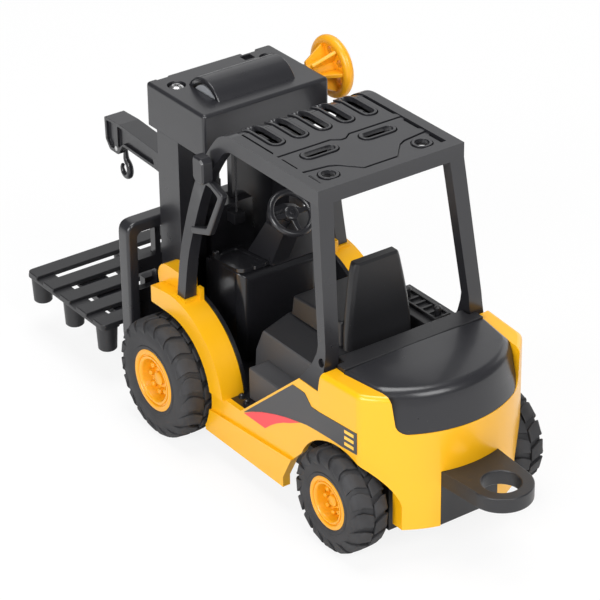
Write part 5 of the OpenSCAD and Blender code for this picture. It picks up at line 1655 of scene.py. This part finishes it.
    def steering_wheel(self) -> None:
        """A thick ring with two level spokes, one towards the driver, and a capped hub."""
        ring, origin = self.wheel_r - self.tube, (0.0, 0.0, 0.0)
        rim = bead(0.0, ring, self.tube, 24)
        wheel = Part.lathe("steering_wheel_piece", rim, origin, Z_AXIS, 56)
        profile = [
            (-1.8, 1.4), (-1.8, 2.3), (-0.6, 2.7), (0.6, 2.6), (0.9, 2.2), (0.9, 1.4), (0.9, 0.9),
            (1.2, 0.7), (1.2, 0.0), (-0.2, 0.0), (-0.2, 1.4),
        ]  # fmt: skip
        hub = Part.lathe("hub", profile, origin, Z_AXIS, 32)
        bar = [(1.8, -1.1), (ring, -0.8), (ring, 0.8), (1.8, 1.1)]
        spokes = []
        for turn in (90, 180, 270):
            spoke = Part.plate("spoke", bar, Plane.PLAN, -0.9, 0.2).soften(0.3, 2)
            spokes.append(spoke.turn(Matrix.Rotation(math.radians(turn), 4, "Z")))
        wheel.join([hub, *spokes])
        lean = Matrix.Rotation(math.radians(-self.wheel_lean), 4, "Y")
        wheel.turn(Matrix.Translation(self.wheel) @ lean)
        wheel.finish(BLACK, Body.STEERING, 45.0)

    def build(self) -> None:
        """Make the cab's own pieces."""
        for make in (
            self.floor, self.seat, self.dash, self.pedals, self.console, self.column,
            self.steering_wheel,
        ):  # fmt: skip
            make()


# ---------------------------------------------------------------- mast and lifting gear


@dataclass
class MastHead:
    """Winch housing on the mast: round-edged box, drum bulge, screw wells and front notches."""

    roof: float = 122.0
    wall: float = 2.0
    bulge_y: float = 17.0
    bulge_r: float = 10.4
    well_r: float = 3.3

    def build(self) -> None:
        """Shape the housing as one hollow moulding."""
        low, high = span("mast_head")
        drum_low, drum_high = span("winch_drum")
        axis = (low.x + 15.3, high.z - self.bulge_r)
        box = Part.block("mast_head_piece", low, (high.x, high.y, self.roof))
        box.bevel(beyond(Z, self.roof - 0.01, any), 1.3, 4)
        inside = (high.x - self.wall, high.y - self.wall, self.roof - self.wall)
        box.cut(Part.block("cavity", low + Vector((self.wall,) * 3), inside))
        mast_low, mast_high = span("mast_frame")
        near = (mast_low.x, low.y + self.wall, low.z - 1)
        box.cut(Part.block("mouth", near, (mast_high.x, high.y - self.wall, low.z + 3)))
        ends = (0.6 - self.bulge_y, self.bulge_y - 1.4)
        bulge = Part.plate("bulge", circle(axis, self.bulge_r, 48), Plane.SIDE, *ends)
        bulge.bevel(lambda edge: extent(edge, Y) < 0.01, 0.5, 3)
        bulge.inset(lambda face: abs(face.normal.y) > 0.99, 0.6, -0.3)
        box.weld(bulge)
        room = (drum_high.z - drum_low.z) / 2 + 0.9
        box.cut(Part.plate("room", circle(axis, room, 36), Plane.SIDE, -15.6, 15.6))
        reach, side = self.bulge_r + 1, self.bulge_y + 0.1
        near = (axis[0] - reach, -side, low.z - 5)
        box.cut(Part.block("slot", near, (axis[0] + reach, side, axis[1] - 4.4)))
        box.cut(Part.plate("shaft", circle(axis, 1.85, 18), Plane.SIDE, low.y - 1, -15.0))
        for sign in (1, -1):
            rim = circle((low.x + 26.4, sign * 19.2), self.well_r, 30)
            box.cut(Part.plate("well", rim, Plane.PLAN, self.roof - 1.6, self.roof + 1))
        notches = (
            (72.3, 75.0, 17.0, 22.3, 0.9), (71.7, 75.0, -19.6, -12.9, 1.3),
            (67.3, 70.9, -15.4, -11.2, 1.5),
        )  # fmt: skip
        for x0, x1, y0, y1, deep in notches:
            box.cut(Part.block("notch", (x0, y0, self.roof - deep), (x1, y1, self.roof + 1)))
        box.flatten(0.3)
        box.soften(0.18, 2)
        box.finish(BLACK)


@dataclass
class LiftingGear:
    """Crane jib, hook, orange hand wheel, load guard, pallet and lifting cord."""

    half: float = 4.2
    board_t: float = 1.9

    def jib(self) -> None:
        """The jib with its curved root, side pockets and hook slot."""
        low, high = span("jib_arm")
        tip, top = high.x, high.z
        root, rest, foot = low.x, top - 34.0, top - 7.2
        gusset = root + 17.4 + 13.0
        curve = arc((gusset, top - 21.9), 13.0, 90, 180, 8)
        side = [
            (root, foot, 0.0), (root, top - 3.2, 0.0), (tip - 10.6, top, 2.0),
            (tip, top - 0.4, 0.8), (tip - 0.4, top - 9.4, 1.5), (tip - 3.2, top - 12.9, 2.0),
            (tip - 9.0, top - 12.9, 1.5), (tip - 12.0, top - 8.2, 1.2),
        ]  # fmt: skip
        outline = rounded(side, 4) + curve
        outline += [(root + 6.6, rest), (root + 6.6, foot)]
        arm = Part.plate("jib_arm_piece", outline, Plane.SIDE, -self.half, self.half)
        pockets = (
            ((1.3, 1.5), (6.4, 1.2), (6.4, 11.3), (3.8, 11.6), (1.6, 9.4)),
            ((8.9, 1.2), (31.0, 2.5), (33.5, 7.6), (24.0, 7.4), (12.8, 7.0), (9.6, 9.8),
             (8.9, 9.8)),
        )  # fmt: skip
        for pocket in pockets:
            points = rounded([(tip - back, top - down, 0.7) for back, down in pocket], 3)
            for sign in (1, -1):
                reach = sorted((sign * (self.half - 1.1), sign * (self.half + 1)))
                arm.cut(Part.plate("pocket", points, Plane.SIDE, *reach))
        arm.cut(Part.block("slot", (tip - 13.5, -1.6, top - 20), (tip - 2.2, 1.6, top - 5)))
        arm.cut(Part.plate("bore", circle((tip - 7.5, top - 10.9), 0.9, 12), Plane.SIDE, -9, 9))
        arm.flatten(0.3)
        arm.soften(0.35, 3)
        arm.finish(BLACK, Body.CARRIAGE)

    def hook(self) -> None:
        """A round-bodied hook on its eye."""
        pin_low, pin_high = span("hook_pin")
        eye = Vector(((pin_low.x + pin_high.x) / 2, 0.0, span("hook")[1].z - 2.0))
        bow = [
            (0.0, -1.4), (0.1, -3.6), (-0.2, -5.6), (-1.9, -7.4), (-2.5, -9.6), (-1.9, -11.6),
            (0.2, -12.6), (2.2, -11.8), (3.0, -10.1), (2.5, -8.8),
        ]  # fmt: skip
        line = flow([(x, 0.0, z) for x, z in bow])
        rings = []
        for i, place in enumerate(line):
            run = heading(line, i).normalized()
            out = Vector((-run.z, 0.0, run.x))
            share = i / (len(line) - 1)
            thick = 0.8 + 0.5 * math.sin(math.pi * min(1.0, share * 1.15))
            thick -= 0.3 * max(0.0, share - 0.8)
            ring = []
            for k in range(12):
                turn = math.tau * k / 12
                across = Vector((0, thick * math.sin(turn), 0))
                ring.append(eye + place + out * thick * math.cos(turn) + across)
            rings.append(ring)
        hook = Part.loft("hook_piece", rings)
        half = [(-1.25, 1.0), (-1.25, 1.7), (-0.95, 2.0), (0.95, 2.0), (1.25, 1.7), (1.25, 1.0)]
        hook.weld(Part.lathe("eye", half, eye, Y_AXIS, 28))
        hook.finish(BLACK, Body.HOOK, 50.0)

    def hand_wheel(self) -> None:
        """A ring on a pierced web, with six ribs that run back to the hub."""
        low, high = span("hand_wheel")
        centre = Vector(((low.x + high.x) / 2, 0.0, (low.z + high.z) / 2))
        out, back, tube = low.y, high.y, 1.9
        ring, middle = (high.z - low.z) / 2 - tube, out + tube
        rim = bead(middle, ring, tube, 20)
        wheel = Part.lathe("hand_wheel_piece", rim, centre, Y_AXIS, 64)
        section = [
            (middle - 0.9, 1.5), (middle - 0.9, ring - 0.6), (middle + 0.9, ring - 0.6),
            (middle + 1.1, 4.0), (back - 0.6, 3.3), (back, 2.9), (back, 1.5),
        ]  # fmt: skip
        web = Part.lathe("web", section, centre, Y_AXIS, 48)
        for i in range(6):
            angle = math.radians(60 * i + 30)
            spot = (centre.x + 6.6 * math.cos(angle), centre.z + 6.6 * math.sin(angle))
            web.cut(Part.plate("window", circle(spot, 1.45), Plane.SIDE, out - 1, back + 1))
        edge = [
            (2.4, middle + 0.4), (ring - 0.4, middle + 0.4), (ring - 0.9, middle + 1.6),
            (4.4, back - 1.4), (2.4, back - 1.0),
        ]  # fmt: skip
        rib = Part.plate("rib", edge, Plane.PLAN, -0.7, 0.7)
        rib.soften(0.25, 2)
        ribs = []
        for i in range(6):
            turn = Matrix.Translation(centre) @ Matrix.Rotation(math.radians(60 * i), 4, "Y")
            ribs.append(rib.copy("rib", turn))
        bpy.data.objects.remove(rib.obj)
        web.soften(0.15, 2)
        wheel.join([web, *ribs])
        wheel.finish(ORANGE, Body.WINCH, 45.0)

    def backrest(self) -> None:
        """The load guard: a rounded frame round a grille of windows in two rows."""
        low, high = span("load_backrest")
        rim, web, bar = 4.0, 3.0, 2.2

        def frame_line(trim: float, radius: float) -> list[Flat]:
            """The frame's outline, set in by a trim."""
            y = high.y - trim
            return rounded_box((y, low.z + trim), (-y, high.z - trim), (radius,) * 4, 6)

        guard = Part.plate("load_backrest_piece", frame_line(0.0, 4.5), Plane.FACE, low.x, high.x)
        guard.bevel(lambda edge: extent(edge, X) < 0.01, 1.2, 4)
        guard.cut(Part.plate("tray", frame_line(rim, 2.5), Plane.FACE, low.x - 1, high.x - web))
        inner, columns = high.y - rim, 6
        width = (2 * inner - (columns - 1) * bar) / columns
        windows = []
        for i in range(columns):
            y = -inner + i * (width + bar)
            for z0, z1 in ((high.z - 29.0, high.z - 22.4), (high.z - 17.0, high.z - rim - 2.0)):
                points = rounded_box((y + width, z0), (y, z1), (0.8,) * 4, 3)
                reach = (high.x - web - 1, high.x + 1)
                windows.append(Part.plate("window", points, Plane.FACE, *reach))
        first = windows.pop()
        first.join(windows)
        guard.cut(first)
        guard.soften(0.3, 2)
        guard.finish(BLACK, Body.CARRIAGE)

    def pallet(self) -> None:
        """Five deck boards with rounded corners, three stringers and nine tapered feet."""
        low, high = span("pallet")
        count, gap, deck = 5, 4.5, 2.6
        width = (high.x - low.x - (count - 1) * gap) / count
        under = high.z - deck
        boards = []
        for i in range(count):
            x0 = low.x + i * (width + gap)
            x1 = x0 + width
            tail = 2.4 if i == 0 else 0.5
            nose = 2.4 if i == count - 1 else 0.5
            plan = rounded_box((x0, low.y), (x1, high.y), (tail, tail, nose, nose), 5)
            boards.append(Part.plate(f"board_{i}", plan, Plane.PLAN, high.z - self.board_t, high.z))
        deck_part = boards.pop(0)
        deck_part.join(boards)
        deck_part.soften(0.6, 3)
        half, foot_r = 3.9, 4.0
        middle = (low.x + high.x) / 2
        others = []
        for y in (low.y + half, 0.0, high.y - half):
            plan = rounded_box((low.x, y - half), (high.x, y + half), (1.8,) * 4, 4)
            others.append(Part.plate("stringer", plan, Plane.PLAN, under, high.z - 1.2))
            others[-1].soften(0.3, 2)
        tall = under - low.z + 0.3
        leg = [(0.0, 0.0), (0.0, foot_r - 0.9), (0.4, foot_r - 0.5), (tall, foot_r), (tall, 0.0)]
        for x in (low.x + foot_r, middle, high.x - foot_r):
            for y in (low.y + foot_r, 0.0, high.y - foot_r):
                others.append(Part.lathe("foot", leg, (x, y, low.z), Z_AXIS, 32))
        deck_part.join(others)
        deck_part.obj.name = "pallet_piece"
        deck_part.finish(GRAINED, Body.PALLET)

    def cord(self) -> None:
        """The lifting cord, taut between the drum and the carriage, and its turns on the drum."""
        low, high = span("lifting_cord")
        x, radius = (low.x + high.x) / 2, (high.x - low.x) / 2
        length, steps = high.z - low.z, 32
        skin = [(length * i / steps, radius) for i in range(steps + 1)]
        profile = [(0.0, 0.0), *skin, (length, 0.0)]
        run = Part.lathe("lifting_cord_piece", profile, (x, 0.0, low.z), Z_AXIS, 16)
        leave = Vector((x, 0.0, high.z + 3.0))
        piece = run.finish(CORD, bend=Bend(Body.CARRIAGE, leave, Vector((x, 0.0, low.z))))
        path = [TO_FRAME @ Vector((x, 0.0, high.z - length * i / steps)) for i in range(steps + 1)]
        tuple(path[0])
        [tuple(point) for point in path]  # fmt: skip
        low, high = span("cord_winding")
        outer, pitch = (high.x - low.x) / 2, 2 * radius
        turns = round((high.y - low.y) / pitch)
        pitch = (high.y - low.y) / turns
        bumps = [(0.0, outer - pitch)]
        for i in range(turns):
            for degrees in (150, 90, 30):
                turn = math.radians(degrees)
                along = (i + 0.5 + math.cos(turn) / 2) * pitch
                bumps.append((along, outer - pitch * (1 - math.sin(turn)) / 2))
        bumps.append((high.y - low.y, outer - pitch))
        centre = ((low.x + high.x) / 2, low.y, (low.z + high.z) / 2)
        winding = Part.lathe("cord_winding_piece", bumps, centre, Y_AXIS, 48)
        winding.finish(CORD, Body.WINCH, 60.0)

    def build(self) -> None:
        """Make jib, hook, hand wheel, load guard, pallet and cord."""
        for make in (self.jib, self.hook, self.hand_wheel, self.backrest, self.pallet, self.cord):
            make()


# ---------------------------------------------------------------- kept nodes

KEPT = {
    STEEL: ("chassis_screws", "mast_screws", "mast_pins", "hook_pin", "idler_pin", "flywheel_pin",
            "winch_shaft", "front_axle", "rear_axle"),
    NYLON: ("gearbox_case", "winch_drum", "idler_gear"),
    ZINC: ("axle_gear", "flywheel"),
    TYRE: ("drag_washer",),
}  # fmt: skip


def dress_kept_nodes() -> None:
    """Give the CAD nodes that stay in view their finishes."""
    for finish, names in KEPT.items():
        for name in names:
            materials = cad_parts[name].data.materials
            materials.clear()
            materials.append(finish.material())
            LOG.info("%s: CAD node, %s", name, finish.name)


def main() -> None:
    """Build every piece, dress the rest and set the stage."""
    wheels = (
        Wheel("front", Body.FRONT_WHEELS, lugs=19),
        Wheel("rear", Body.REAR_WHEELS, lugs=16),
    )
    body = (RearBody(), OverheadGuard(), Cab(), MastHead(), LiftingGear())
    for group in (*wheels, *MOULDINGS, *body):
        group.build()
    dress_kept_nodes()
    Studio().build()


if __name__ == "__main__":
    main()
